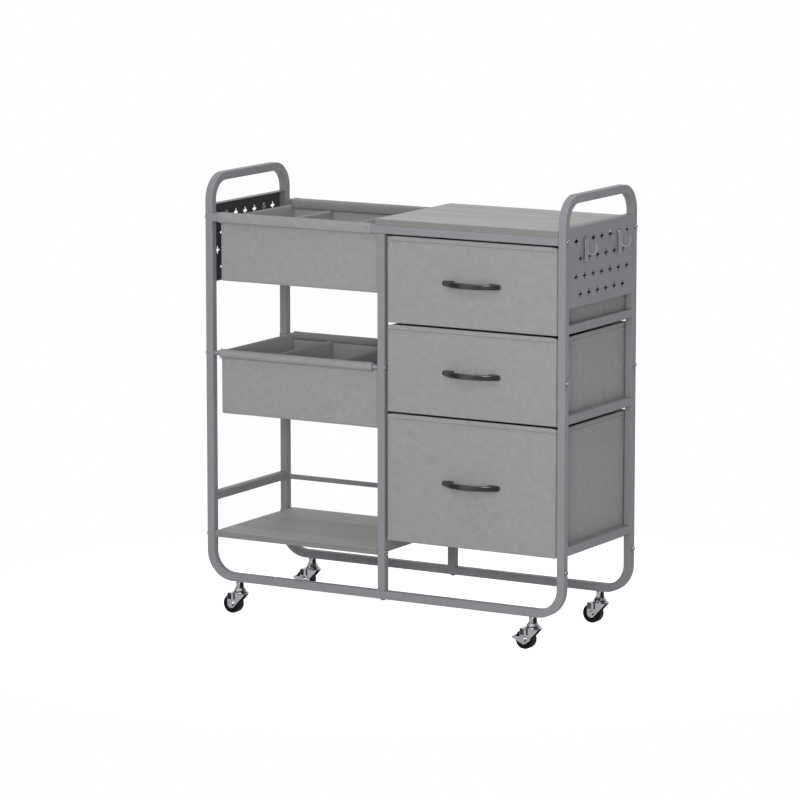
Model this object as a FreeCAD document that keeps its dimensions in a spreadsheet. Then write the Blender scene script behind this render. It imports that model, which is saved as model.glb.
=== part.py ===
import FreeCAD, Part
import math
import os

import Sketcher

# Rolling drawer cart: a square tube frame on four swivel casters, with three fabric drawers
# under a board top on the right and two hanging fabric baskets over a shelf on the left.
# +X right, -Y front, +Z up, millimetres, origin on the floor under the middle of the frame.

doc = FreeCAD.newDocument("RollingDrawerCart")
vector = FreeCAD.Vector

# Driving dimensions, one cell each: alias, value in mm, what it measures.
drivingSizes = [
    ("cartWidth", 800, "overall width over the end posts"),
    ("cartDepth", 292, "overall depth over the posts"),
    ("tubeSize", 16, "square tube, outside"),
    ("tubeWall", 1.2, "square tube, wall"),
    ("tubeCorner", 1.5, "square tube, outer corner radius"),
    ("tubeInnerCorner", 0.4, "square tube, inner corner radius"),
    ("baseRailHeight", 64, "underside of the base rails above the floor"),
    ("baseBendRadius", 50, "base tube bend, to the centreline"),
    ("lowerSeamRise", 22.2, "joint between base tube and side frame, over the shelf"),
    ("upperSeamDrop", 290.7, "joint between side frame and end handle, under the deck"),
    ("handleRise", 77, "top of the end handles over the deck"),
    ("handleBendRadius", 45, "end handle bend, to the centreline"),
    ("deckHeight", 794.4, "top of the upper rails, where the top board lies"),
    ("middlePostShift", -1.5, "middle frame centre from the cart's centre"),
    ("middleRailHeight", 166.3, "low rail of the middle frame, centre"),
    ("guardRailHeight", 230.1, "guard rail at the shelf's open end, centre"),
    ("guardRodHeight", 227.1, "guard rod behind the shelf, centre"),
    ("connectorLength", 70, "plug inside each tube joint"),
    ("connectorClearance", 0.1, "plug to tube bore, each side"),
    ("endPlate", 2, "plate in the ends of an upper rail and the foot of a middle post"),
    ("rodDiameter", 10, "round rods"),
    ("rodDrop", 277, "rods that carry the lower basket, centre under the deck"),
    ("boltHeadDiameter", 10.5, "frame bolt head"),
    ("boltHeadHeight", 3.2, "frame bolt head, outside"),
    ("boltSlimHeadHeight", 2, "frame bolt head beside the drawers"),
    ("boltHeadEdge", 1.6, "frame bolt head rounding"),
    ("boltSocket", 4, "frame bolt, hexagonal socket across flats"),
    ("boltSocketDepth", 1.3, "frame bolt, depth of the socket"),
    ("boltDiameter", 5, "frame bolt shank"),
    ("boltGrip", 12, "frame bolt length past the tube it goes through"),
    ("boltShortGrip", 2, "frame bolt length past a tube with nothing behind"),
    ("boltClearance", 0.1, "frame bolt to its hole, on the radius"),
    ("railBoltDrop", 8, "upper rail bolts under the deck"),
    ("shelfBoltDrop", 7.1, "shelf bolts under the shelf's top"),
    ("boardThickness", 12, "top board and shelf"),
    ("boardEdge", 1, "edge rounding of the boards"),
    ("deckOverhang", 4.5, "top board past the middle frame's far side"),
    ("shelfTopHeight", 162.3, "top of the shelf"),
    ("shelfOuterGap", 2, "shelf to the end posts"),
    ("shelfInnerGap", 0.5, "shelf to the middle frame"),
    ("deckScrewDiameter", 4, "screws that hold the top board"),
    ("deckScrewHead", 8, "top board screw head"),
    ("deckScrewHeadHeight", 1.2, "top board screw head"),
    ("deckScrewBite", 8, "top board screw, length in the board"),
    ("deckScrewInset", 45, "top board screws from the board's ends"),
    ("pegSheet", 1.2, "perforated end panel, sheet"),
    ("pegRise", 17, "perforated end panel, top over the deck"),
    ("pegHeight", 152.6, "perforated end panel"),
    ("pegFlange", 16, "folded edge of the end panel"),
    ("pegCross", 15, "cross shaped hole, over its arms"),
    ("pegArm", 4, "cross shaped hole, arm"),
    ("pegEye", 8, "round middle of a cross shaped hole"),
    ("pegColumns", 7, "holes in a full row"),
    ("pegRows", 4, "rows of holes"),
    ("pegPitchAlong", 34.45, "hole spacing along a row"),
    ("pegPitchUp", 33.9, "row spacing"),
    ("pegFirstRow", 27.6, "top row under the panel's top"),
    ("hookWidth", 12, "hook plate"),
    ("hookHeight", 44, "hook plate"),
    ("hookThickness", 2, "hook plate"),
    ("hookStandOff", 3, "hook plate from the panel"),
    ("hookProng", 4, "round prong of the hook"),
    ("hookProngEdge", 1.2, "round prong, edge rounding of its tip"),
    ("hookBendRadius", 10.5, "prong's bend, to its centreline"),
    ("hookBendDrop", 19.8, "middle of the prong's bend under the hook's top"),
    ("hookLip", 10.2, "straight tip of the prong"),
    ("hookTopRise", 3, "top of the hook over the middle of its hole"),
    ("hookCatchLap", 2.5, "hook catch past the top of the hole"),
    ("hookTongue", 3, "hook tongue, width"),
    ("hookTongueHeight", 6, "hook tongue, height"),
    ("hookClearance", 0.3, "hook tongue behind and inside the panel"),
    ("drawerTopGap", 3.4, "upper rail to the top drawer"),
    ("drawerGap", 3.6, "gap between drawers"),
    ("drawerHeightTop", 167.9, "front of the top drawer"),
    ("drawerHeightMiddle", 169.5, "front of the second drawer"),
    ("drawerFloorHeight", 180.8, "underside of the lowest drawer"),
    ("drawerFrontSideGap", 4.5, "drawer front to the posts"),
    ("drawerSideGap", 2.7, "drawer body to the posts"),
    ("drawerFrontRecess", 4, "drawer front behind the posts' faces"),
    ("drawerLength", 286, "drawer, front to back"),
    ("drawerFrontSheet", 3, "front panel in front of the drawer body"),
    ("drawerWall", 2, "drawer cloth with its lining"),
    ("drawerRimDrop", 3, "drawer side under the front's top edge"),
    ("stiffener", 3, "boards inside drawers and baskets"),
    ("softGap", 0.3, "clearance round soft pieces"),
    ("runnerSheet", 1.2, "drawer runner angle"),
    ("runnerFlange", 14, "drawer runner, ledge under the drawer"),
    ("runnerLeg", 15, "drawer runner, upright leg"),
    ("runnerEndGap", 2, "drawer runner to the posts, each end"),
    ("upperRailRise", 3.9, "side rail over the bottom of the top drawer"),
    ("middleRailRise", 4.8, "side rail over the bottom of the second drawer"),
    ("lowRailRise", 5.8, "side rail over the bottom of the lowest drawer"),
    ("pullLength", 127, "drawer pull"),
    ("pullRise", 26, "drawer pull, bow in front of the drawer"),
    ("pullHeight", 11, "drawer pull, bow"),
    ("pullThickness", 5, "drawer pull, bow"),
    ("pullEdge", 2.3, "drawer pull, edge rounding of the bow"),
    ("pullPadLength", 25, "drawer pull, each foot"),
    ("pullPadThickness", 3, "drawer pull, each foot"),
    ("pullShift", 1.5, "drawer pull, off the drawer's middle"),
    ("pullUpHeight", 84.5, "pull over the bottom of each upper drawer"),
    ("pullLowHeight", 123.8, "pull over the bottom of the lowest drawer"),
    ("pullScrewDiameter", 4, "drawer pull screws"),
    ("pullScrewHead", 8, "drawer pull screw head"),
    ("pullScrewHeadHeight", 2, "drawer pull screw head"),
    ("pullScrewBite", 4, "drawer pull screw, length in the pull"),
    ("sleeveWallSquare", 2, "cloth sleeve round a square rail"),
    ("sleeveWallRound", 3, "cloth sleeve round a rod"),
    ("sleeveLeftGap", 13, "bare rail at the end post"),
    ("sleeveRightGap", 14, "bare rail at the middle frame"),
    ("basketLeftGap", 14.5, "basket body to the end post"),
    ("basketRightGap", 2.5, "basket body to the middle frame"),
    ("basketWall", 2, "basket cloth with its lining"),
    ("basketDepthUpper", 125.2, "upper basket, rail middle to bottom"),
    ("basketDepthLower", 119.6, "lower basket, rod middle to bottom"),
    ("basketEndDrop", 1, "upper basket end wall under the rail's middle"),
    ("basketEndRise", 5.5, "lower basket end wall over the rod's middle"),
    ("dividerThickness", 4, "basket divider"),
    ("dividerLeftPlace", 91, "left divider from the basket's left wall"),
    ("dividerRightPlace", 119.5, "right divider from the basket's right wall"),
    ("dividerDropUpper", 8.4, "upper divider under the rail's middle"),
    ("dividerDropLower", 2.4, "lower divider under the rod's middle"),
    ("dividerNotch", 10.7, "divider, notch at the sleeves"),
    ("casterInset", 70.5, "caster stem from the cart's end"),
    ("wheelDiameter", 38, "caster wheel"),
    ("wheelWidth", 17, "caster wheel"),
    ("wheelEdge", 1.5, "wheel tread edge rounding"),
    ("wheelRecess", 1.5, "wheel side recess, depth"),
    ("wheelRing", 14, "wheel side recess, radius"),
    ("wheelHub", 5, "wheel hub, radius"),
    ("casterTrail", 14.7, "wheel centre behind the stem"),
    ("axleDiameter", 6, "wheel axle"),
    ("axleHead", 11.5, "wheel axle head"),
    ("axleHeadHeight", 3, "wheel axle head"),
    ("axleHeadEdge", 1.2, "wheel axle head rounding"),
    ("runningClearance", 0.08, "wheel on axle and fork on stem, on the radius"),
    ("forkGap", 0.6, "wheel to fork leg"),
    ("forkSheet", 1.4, "fork sheet"),
    ("forkTopHeight", 40.4, "top of the fork's crown"),
    ("forkFront", 14, "fork leg in front of the stem"),
    ("forkShoulder", 2.4, "straight front edge of the fork leg"),
    ("forkBoss", 8.6, "round end of the fork leg"),
    ("forkRibRise", 2, "pressed rib of a fork leg"),
    ("forkRibFront", 5.5, "front edge of the rib behind the stem"),
    ("forkRibBevel", 2.5, "steep front of the rib"),
    ("forkRibCrest", 5, "flat crest of the rib"),
    ("forkRibInset", 0.4, "back edge of the rib from the leg's back edge"),
    ("forkRibFoot", 28, "foot of the pressed rib above the floor"),
    ("raceDiameter", 33, "bearing race on the crown"),
    ("raceHeight", 3, "bearing race on the crown"),
    ("raceEdge", 1.6, "bearing race, edge rounding"),
    ("stemGap", 0.3, "stem flange to the fork"),
    ("stemPin", 8, "king pin"),
    ("stemPinHead", 12, "king pin head"),
    ("stemPinHeadHeight", 1.7, "king pin head"),
    ("stemCap", 25.5, "bearing cap on the stem"),
    ("stemCapHeight", 7.5, "bearing cap on the stem"),
    ("stemCapEdge", 4.5, "bearing cap, sloping part"),
    ("stemCollar", 19, "collar over the bearing cap"),
    ("stemCollarHeight", 2, "collar over the bearing cap"),
    ("stemNut", 15, "lock nut, across flats"),
    ("stemNutHeight", 9, "lock nut"),
    ("stemThread", 10, "threaded stem"),
    ("leverSheet", 1.2, "brake lever sheet"),
    ("leverSideGap", 0.3, "brake lever to the fork leg and the axle head"),
    ("leverReach", 24, "brake lever tip from the axle"),
    ("leverPedal", 3.5, "brake lever pedal, along the lever"),
    ("leverPedalHeight", 4, "brake lever pedal, height"),
    ("leverPedalRise", 1.5, "brake lever pedal over the axle's middle"),
    ("leverTail", 15.5, "brake lever in front of the axle"),
    ("leverFoot", 9.2, "brake lever under the axle"),
    ("leverCrest", 5.5, "brake lever over the axle"),
    ("leverToe", 2.8, "brake lever, flat foot in front of the axle"),
    ("leverNose", 2.4, "brake lever, upright front edge"),
    ("leverBrow", 6.2, "brake lever, flat top in front of the axle"),
    ("leverBack", 7.2, "brake lever, flat top behind the axle"),
]

sheet = doc.addObject("Spreadsheet::Sheet", "Sizes")
for row, (alias, number, meaning) in enumerate(drivingSizes, start=1):
    sheet.set("A%d" % row, alias)
    sheet.set("B%d" % row, str(number))
    sheet.setAlias("B%d" % row, alias)
    sheet.set("C%d" % row, meaning)
doc.recompute()


def cell(alias):
    return "Sizes." + alias


def value(expression):
    # The number that an expression of the sheet's cells stands for now.
    result = sheet.evalExpression(str(expression))
    return float(getattr(result, "Value", result))


def plus(*terms):
    return "(" + " + ".join(str(term) for term in terms) + ")"


def less(first, *terms):
    return "(%s - %s)" % (first, " - ".join(str(term) for term in terms))


def half(term):
    return "(%s / 2)" % term


def times(factor, term):
    return "(%s * %s)" % (factor, term)


# Places that several pieces share, worked out from the driving dimensions.
tube = cell("tubeSize")
halfTube = half(tube)
postX = less(half(cell("cartWidth")), halfTube)
postY = less(half(cell("cartDepth")), halfTube)
endPostInner = less(postX, halfTube)
postFront = plus(postY, halfTube)
postBack = less(postY, halfTube)
middleX = cell("middlePostShift")
middleLeft = less(middleX, halfTube)
middleRight = plus(middleX, halfTube)
upperRailMiddle = less(cell("deckHeight"), halfTube)
upperRailUnder = less(cell("deckHeight"), tube)
railBoltHeight = less(cell("deckHeight"), cell("railBoltDrop"))
baseRailMiddle = plus(cell("baseRailHeight"), halfTube)
baseRailTop = plus(cell("baseRailHeight"), tube)
handleTopMiddle = less(plus(cell("deckHeight"), cell("handleRise")), halfTube)
lowerSeam = plus(cell("shelfTopHeight"), cell("lowerSeamRise"))
upperSeam = less(cell("deckHeight"), cell("upperSeamDrop"))
rodMiddle = less(cell("deckHeight"), cell("rodDrop"))
pegTop = plus(cell("deckHeight"), cell("pegRise"))
shelfBoltLevel = less(cell("shelfTopHeight"), cell("shelfBoltDrop"))

drawerNumbers = (1, 2, 3)
drawerTop = {1: less(upperRailUnder, cell("drawerTopGap"))}
drawerBottom = {3: cell("drawerFloorHeight")}
for number, height in ((1, cell("drawerHeightTop")), (2, cell("drawerHeightMiddle"))):
    drawerBottom[number] = less(drawerTop[number], height)
    drawerTop[number + 1] = less(drawerBottom[number], cell("drawerGap"))
railRise = {1: cell("upperRailRise"), 2: cell("middleRailRise"), 3: cell("lowRailRise")}
sideRailMiddle = {number: plus(drawerBottom[number], railRise[number], halfTube) for number in drawerNumbers}
drawerFrontY = "(-%s)" % less(postFront, cell("drawerFrontRecess"))
drawerBodyLeft = plus(middleRight, cell("drawerSideGap"))
drawerBodyRight = less(endPostInner, cell("drawerSideGap"))
drawerBackY = plus(drawerFrontY, cell("drawerLength"))
drawerBodyFrontY = plus(drawerFrontY, cell("drawerFrontSheet"))
drawerInnerFrontY = plus(drawerBodyFrontY, cell("drawerWall"))
pullX = plus(half(plus(middleRight, endPostInner)), cell("pullShift"))
pullScrewX = half(less(cell("pullLength"), cell("pullPadLength")))
pullHeight = {1: cell("pullUpHeight"), 2: cell("pullUpHeight"), 3: cell("pullLowHeight")}
pullZ = {number: plus(drawerBottom[number], pullHeight[number]) for number in drawerNumbers}

forkInner = plus(half(cell("wheelWidth")), cell("forkGap"))
forkOuter = plus(forkInner, cell("forkSheet"))
axleZ = half(cell("wheelDiameter"))
axleX = "(-%s)" % cell("casterTrail")
casterX = less(half(cell("cartWidth")), cell("casterInset"))
leverInner = plus(forkOuter, cell("leverSideGap"))
leverOuter = plus(leverInner, cell("leverSheet"))

sides = {"left": -1, "right": 1}
ends = {"front": -1, "rear": 1}
casterSpots = [(end, side) for end in ends for side in sides]
brakedSpots = [("front", "right"), ("rear", "left")]

# The pulls reach further forward than the rear casters reach back, so everything stands a little
# further back than the frame's own middle, with the origin under the middle of the whole.
frontReach = plus("(-%s)" % drawerFrontY, cell("pullRise"))
rearReach = plus(postY, leverOuter, cell("leverSideGap"), cell("axleHeadHeight"))
footprintShift = half(less(frontReach, rearReach))

nodes = []


def node(shapeObject, label):
    shapeObject.Label = label
    shapeObject.setExpression("Placement.Base.y", footprintShift)
    nodes.append(shapeObject)
    return shapeObject


def newBody(label, isNode=True):
    body = doc.addObject("PartDesign::Body", "Body_" + label)
    if isNode:
        node(body, label)
    return body


def place(body, x, y, z):
    across = plus(y, footprintShift) if body in nodes else y
    for axis, expression in zip("xyz", (x, across, z)):
        body.setExpression("Placement.Base." + axis, str(expression))


def signed(sign, expression):
    return times(sign, expression)


def sketchOn(body, name, role, offset=0):
    # A sketch on one of the body's own origin planes, moved along the plane's normal.
    sketch = body.newObject("Sketcher::SketchObject", name)
    planes = [feature for feature in body.Origin.OriginFeatures if feature.Role == role]
    sketch.AttachmentSupport = [(planes[0], "")]
    sketch.MapMode = "FlatFace"
    sketch.setExpression("AttachmentOffset.Base.z", str(offset))
    return sketch


def dimension(sketch, kind, where, expression):
    index = sketch.addConstraint(Sketcher.Constraint(kind, *where, value(expression)))
    sketch.setExpression("Constraints[%d]" % index, str(expression))


def polygon(sketch, corners):
    # A closed outline of straight edges, each corner held by two dimensions from the origin.
    points = [vector(value(x), value(y), 0) for x, y in corners]
    first = sketch.GeometryCount
    count = len(points)
    for index in range(count):
        sketch.addGeometry(Part.LineSegment(points[index], points[(index + 1) % count]), False)
    for index in range(count):
        following = first + (index + 1) % count
        sketch.addConstraint(Sketcher.Constraint("Coincident", first + index, 2, following, 1))
    for index, (x, y) in enumerate(corners):
        dimension(sketch, "DistanceX", (-1, 1, first + index, 1), x)
        dimension(sketch, "DistanceY", (-1, 1, first + index, 1), y)


def rectangle(sketch, left, right, bottom, top):
    polygon(sketch, [(left, bottom), (right, bottom), (right, top), (left, top)])


def circle(sketch, x, y, diameter):
    centre = vector(value(x), value(y), 0)
    index = sketch.addGeometry(Part.Circle(centre, vector(0, 0, 1), value(diameter) / 2), False)
    dimension(sketch, "Diameter", (index,), diameter)
    dimension(sketch, "DistanceX", (-1, 1, index, 3), x)
    dimension(sketch, "DistanceY", (-1, 1, index, 3), y)


def arc(centre, radius, start, end):
    whole = Part.Circle(centre, vector(0, 0, 1), radius)
    return Part.ArcOfCircle(whole, math.radians(start), math.radians(end))


def roundedSquare(sketch, x, y, side, radius):
    # A square with rounded corners round a middle point.
    left, right = less(x, half(side)), plus(x, half(side))
    bottom, top = less(y, half(side)), plus(y, half(side))
    l, r, b, t, q = [value(item) for item in (left, right, bottom, top, radius)]
    first = sketch.GeometryCount
    edges = [((l + q, b), (r - q, b)), ((r, b + q), (r, t - q)),
             ((r - q, t), (l + q, t)), ((l, t - q), (l, b + q))]
    for start, end in edges:
        sketch.addGeometry(Part.LineSegment(vector(*start, 0), vector(*end, 0)), False)
    corners = [(r - q, b + q), (r - q, t - q), (l + q, t - q), (l + q, b + q)]
    for turn, corner in enumerate(corners):
        sketch.addGeometry(arc(vector(*corner, 0), q, 90 * turn - 90, 90 * turn), False)
    for index in range(4):
        edge, bend, following = first + index, first + 4 + index, first + (index + 1) % 4
        sketch.addConstraint(Sketcher.Constraint("Tangent", edge, 2, bend, 1))
        sketch.addConstraint(Sketcher.Constraint("Tangent", bend, 2, following, 1))
        sketch.addConstraint(Sketcher.Constraint(("Horizontal", "Vertical")[index % 2], edge))
    for index in (1, 2, 3):
        sketch.addConstraint(Sketcher.Constraint("Equal", first + 4, first + 4 + index))
    dimension(sketch, "Radius", (first + 4,), radius)
    dimension(sketch, "DistanceX", (-1, 1, first + 1, 1), right)
    dimension(sketch, "DistanceX", (-1, 1, first + 3, 1), left)
    dimension(sketch, "DistanceY", (-1, 1, first, 1), bottom)
    dimension(sketch, "DistanceY", (-1, 1, first + 2, 1), top)


def tubeSection(sketch, x, y):
    roundedSquare(sketch, x, y, tube, cell("tubeCorner"))
    roundedSquare(sketch, x, y, less(tube, times(2, cell("tubeWall"))), cell("tubeInnerCorner"))


def plugOutline(sketch, x, y):
    # The square that fills a tube's bore.
    roundedSquare(sketch, x, y, less(tube, times(2, cell("tubeWall"))), cell("tubeInnerCorner"))


def extrude(body, name, role, low, high, draw, cut=False):
    # A pad or pocket of a drawn outline between two places along the plane's axis.
    # The XZ plane faces -Y, so its offset is counted from the high end.
    start = "(-%s)" % high if role == "XZ_Plane" else low
    sketch = sketchOn(body, name + "Outline", role, start)
    draw(sketch)
    feature = body.newObject("PartDesign::Pocket" if cut else "PartDesign::Pad", name)
    feature.Profile = sketch
    feature.setExpression("Length", less(high, low))
    feature.Reversed = cut
    sketch.Visibility = False
    before = body.Shape.Volume if cut else 0
    doc.recompute()
    if cut and not body.Shape.Volume < before:
        raise RuntimeError(name + " removes nothing")
    return feature


def box(body, name, x, y, z, cut=False):
    return extrude(body, name, "XY_Plane", z[0], z[1], lambda sketch: rectangle(sketch, *x, *y), cut)


def revolve(body, name, role, axisName, draw):
    sketch = sketchOn(body, name + "Outline", role)
    draw(sketch)
    feature = body.newObject("PartDesign::Revolution", name)
    feature.Profile = sketch
    feature.ReferenceAxis = (sketch, [axisName])
    feature.Angle = 360
    doc.recompute()
    return feature


def hexagon(body, name, role, low, height, acrossFlats, cut=False):
    prism = body.newObject("PartDesign::SubtractivePrism" if cut else "PartDesign::AdditivePrism", name)
    prism.Polygon = 6
    prism.setExpression("Circumradius", "(%s / cos(30))" % half(acrossFlats))
    prism.setExpression("Height", str(height))
    prism.setExpression("AttachmentOffset.Base.z", str(low))
    planes = [feature for feature in body.Origin.OriginFeatures if feature.Role == role]
    prism.AttachmentSupport = [(planes[0], "")]
    prism.MapMode = "FlatFace"
    doc.recompute()
    return prism


def roundEdges(body, name, radius, chosen):
    # A fillet on the edges that the test picks by their shape.
    doc.recompute()
    base = body.Tip
    picked = ["Edge%d" % number for number, edge in enumerate(base.Shape.Edges, start=1) if chosen(edge)]
    if not picked:
        raise RuntimeError(name + " finds no edge")
    feature = body.newObject("PartDesign::Fillet", name)
    feature.Base = (base, picked)
    feature.setExpression("Radius", str(radius))
    doc.recompute()
    return feature


def circlesOf(radius):
    # A test for circular edges of one radius.
    wanted = value(radius)

    def test(edge):
        return edge.Curve.TypeId == "Part::GeomCircle" and abs(edge.Curve.Radius - wanted) < 1e-4

    return test


def bentTube(body, name, role, cross, halfSpan, endLevel, crestLevel, bendRadius):
    # A square tube bent to a U: two uprights from endLevel, joined by a crest, in a vertical plane.
    span, level, crest, bend = [value(item) for item in (halfSpan, endLevel, crestLevel, bendRadius)]
    up = 1 if crest > level else -1
    offset = "(-%s)" % cross if role == "XZ_Plane" else cross
    spine = sketchOn(body, name + "Spine", role, offset)
    knee = crest - up * bend
    spine.addGeometry(Part.LineSegment(vector(-span, level, 0), vector(-span, knee, 0)), False)
    spine.addGeometry(arc(vector(-span + bend, knee, 0), bend, *((90, 180) if up > 0 else (180, 270))), False)
    spine.addGeometry(Part.LineSegment(vector(-span + bend, crest, 0), vector(span - bend, crest, 0)), False)
    spine.addGeometry(arc(vector(span - bend, knee, 0), bend, *((0, 90) if up > 0 else (270, 360))), False)
    spine.addGeometry(Part.LineSegment(vector(span, knee, 0), vector(span, level, 0)), False)
    near, far = (2, 1) if up > 0 else (1, 2)
    joints = ((0, 2, 1, near), (1, far, 2, 1), (2, 2, 3, near), (3, far, 4, 1))
    for first, firstEnd, second, secondEnd in joints:
        spine.addConstraint(Sketcher.Constraint("Tangent", first, firstEnd, second, secondEnd))
    for index, kind in ((0, "Vertical"), (2, "Horizontal"), (4, "Vertical")):
        spine.addConstraint(Sketcher.Constraint(kind, index))
    spine.addConstraint(Sketcher.Constraint("Equal", 1, 3))
    dimension(spine, "Radius", (1,), bendRadius)
    dimension(spine, "DistanceX", (-1, 1, 0, 1), "(-%s)" % halfSpan)
    dimension(spine, "DistanceX", (-1, 1, 4, 2), halfSpan)
    dimension(spine, "DistanceY", (-1, 1, 0, 1), endLevel)
    dimension(spine, "DistanceY", (-1, 1, 4, 2), endLevel)
    dimension(spine, "DistanceY", (-1, 1, 2, 1), crestLevel)
    profile = sketchOn(body, name + "Section", "XY_Plane", endLevel)
    start = ("(-%s)" % halfSpan, cross) if role == "XZ_Plane" else (cross, "(-%s)" % halfSpan)
    tubeSection(profile, *start)
    pipe = body.newObject("PartDesign::AdditivePipe", name)
    pipe.Profile = profile
    pipe.Spine = (spine, [])
    doc.recompute()


def crossHoles(body, name, x, levels, diameter):
    # Bolt holes along X through the front and rear tubes at one end of the cart.
    low, high = less(x, tube), plus(x, tube)

    def draw(sketch):
        for level in levels:
            for sign in ends.values():
                circle(sketch, signed(sign, postY), level, diameter)

    extrude(body, name, "YZ_Plane", low, high, draw, cut=True)


boltHole = plus(cell("boltDiameter"), times(2, cell("boltClearance")))
stemHole = plus(cell("stemThread"), times(2, cell("boltClearance")))


def depthRail(body, name, x, level):
    # A square rail from the front post to the rear one, let into their walls where it is welded.
    reach = plus(postBack, cell("tubeWall"))
    extrude(body, name, "XZ_Plane", "(-%s)" % reach, reach, lambda sketch: tubeSection(sketch, x, level))


def makeHandleFrame(side):
    body = newBody("handle_frame_" + side)
    x = signed(sides[side], postX)
    bentTube(body, "Arch", "YZ_Plane", x, postY, upperSeam, handleTopMiddle, cell("handleBendRadius"))
    if side == "right":
        depthRail(body, "DrawerRail", x, sideRailMiddle[1])
    crossHoles(body, "BoltHoles", x, [railBoltHeight, rodMiddle], boltHole)


def makeSideFrame(side):
    body = newBody("side_frame_" + side)
    x = signed(sides[side], postX)
    levels = {"left": [cell("guardRailHeight")], "right": [sideRailMiddle[3], sideRailMiddle[2]]}[side]
    for index, level in enumerate(levels):
        depthRail(body, "Rail%d" % index, x, level)
        if index == 0:
            for end, sign in ends.items():
                extrude(body, "Post_" + end, "XY_Plane", lowerSeam, upperSeam,
                        lambda sketch, sign=sign: tubeSection(sketch, x, signed(sign, postY)))


def makeBaseTube(end):
    body = newBody("base_tube_" + end)
    y = signed(ends[end], postY)
    bend = cell("baseBendRadius")
    bentTube(body, "Tube", "XZ_Plane", y, postX, lowerSeam, baseRailMiddle, bend)
    low, high = less(0, half(cell("cartWidth"))), half(cell("cartWidth"))

    def boltHoles(sketch):
        circle(sketch, y, shelfBoltLevel, boltHole)

    def stemHoles(sketch):
        for sign in sides.values():
            circle(sketch, signed(sign, casterX), y, stemHole)

    def postHole(sketch):
        circle(sketch, middleX, y, boltHole)

    extrude(body, "BoltHoles", "YZ_Plane", low, high, boltHoles, cut=True)
    extrude(body, "StemHoles", "XY_Plane", cell("baseRailHeight"), baseRailMiddle, stemHoles, cut=True)
    extrude(body, "PostHole", "XY_Plane", cell("baseRailHeight"), baseRailTop, postHole, cut=True)


def makeMiddleFrame():
    # Two posts with three rails between them. A plate in the foot of each post takes a bolt.
    body = newBody("middle_frame")
    depthRail(body, "ShelfRail", middleX, cell("middleRailHeight"))
    for end, sign in ends.items():
        extrude(body, "Post_" + end, "XY_Plane", baseRailTop, upperRailUnder,
                lambda sketch, sign=sign: tubeSection(sketch, middleX, signed(sign, postY)))
    for number in (1, 2):
        depthRail(body, "DrawerRail%d" % number, middleX, sideRailMiddle[number])
    crossHoles(body, "BoltHoles", middleX, [rodMiddle, shelfBoltLevel], boltHole)
    plateTop = plus(baseRailTop, cell("endPlate"))
    for end, sign in ends.items():
        extrude(body, "Plate_" + end, "XY_Plane", baseRailTop, plateTop,
                lambda sketch, sign=sign: plugOutline(sketch, middleX, signed(sign, postY)))

    def postHoles(sketch):
        for sign in ends.values():
            circle(sketch, middleX, signed(sign, postY), boltHole)

    extrude(body, "PostHoles", "XY_Plane", baseRailTop, plateTop, postHoles, cut=True)


def makeTopRail(end):
    # The rail carries the top board and one side of the upper basket. A plate in each end is tapped.
    body = newBody("top_rail_" + end)
    y = signed(ends[end], postY)
    low, high = "(-%s)" % endPostInner, endPostInner
    extrude(body, "Rail", "YZ_Plane", low, high, lambda sketch: tubeSection(sketch, y, upperRailMiddle))

    def plate(sketch):
        plugOutline(sketch, y, upperRailMiddle)

    extrude(body, "PlateLeft", "YZ_Plane", low, plus(low, cell("endPlate")), plate)
    extrude(body, "PlateRight", "YZ_Plane", less(high, cell("endPlate")), high, plate)
    extrude(body, "BoltHoles", "YZ_Plane", low, high,
            lambda sketch: circle(sketch, y, railBoltHeight, boltHole), cut=True)

    def screwHoles(sketch):
        for x in deckScrewPlaces:
            circle(sketch, x, y, cell("deckScrewDiameter"))

    extrude(body, "ScrewHoles", "XY_Plane", upperRailUnder, cell("deckHeight"), screwHoles, cut=True)


deckLeft = less(middleLeft, cell("deckOverhang"))
deckRight = endPostInner
deckScrewPlaces = [plus(deckLeft, cell("deckScrewInset")), less(deckRight, cell("deckScrewInset"))]


def compound(label, members):
    group = doc.addObject("Part::Compound", "Group_" + label)
    group.Links = members
    return node(group, label)


def makeConnectors():
    # Square plugs inside the eight tube joints, each drilled for the bolt that goes through it.
    members = []
    bore = less(tube, times(2, cell("tubeWall")), times(2, cell("connectorClearance")))
    levels = {"Lower": (lowerSeam, shelfBoltLevel), "Upper": (upperSeam, rodMiddle)}
    for name, (seam, bolt) in levels.items():
        for end, side in casterSpots:
            body = newBody("plug_%s_%s_%s" % (name, end, side), isNode=False)
            low = less(seam, half(cell("connectorLength")))
            high = plus(seam, half(cell("connectorLength")))
            extrude(body, "Plug", "XY_Plane", low, high,
                    lambda sketch: roundedSquare(sketch, 0, 0, bore, cell("tubeInnerCorner")))
            extrude(body, "Hole", "YZ_Plane", "(-%s)" % tube, tube,
                    lambda sketch: circle(sketch, 0, bolt, boltHole), cut=True)
            place(body, signed(sides[side], postX), signed(ends[end], postY), 0)
            members.append(body)
    compound("tube_connectors", members)


def makeRod(label, level, end, tapped):
    # A round rod from the end post to the middle frame, tapped at both ends for a bolt.
    body = newBody(label)
    low, high = "(-%s)" % endPostInner, middleLeft
    y = signed(ends[end], postY)
    extrude(body, "Rod", "YZ_Plane", low, high, lambda sketch: circle(sketch, y, level, cell("rodDiameter")))
    if tapped:
        depth = plus(cell("boltGrip"), cell("boltClearance"))

        def hole(sketch):
            circle(sketch, y, level, cell("boltDiameter"))

        extrude(body, "HoleLeft", "YZ_Plane", low, plus(low, depth), hole, cut=True)
        extrude(body, "HoleRight", "YZ_Plane", less(high, depth), high, hole, cut=True)


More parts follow.
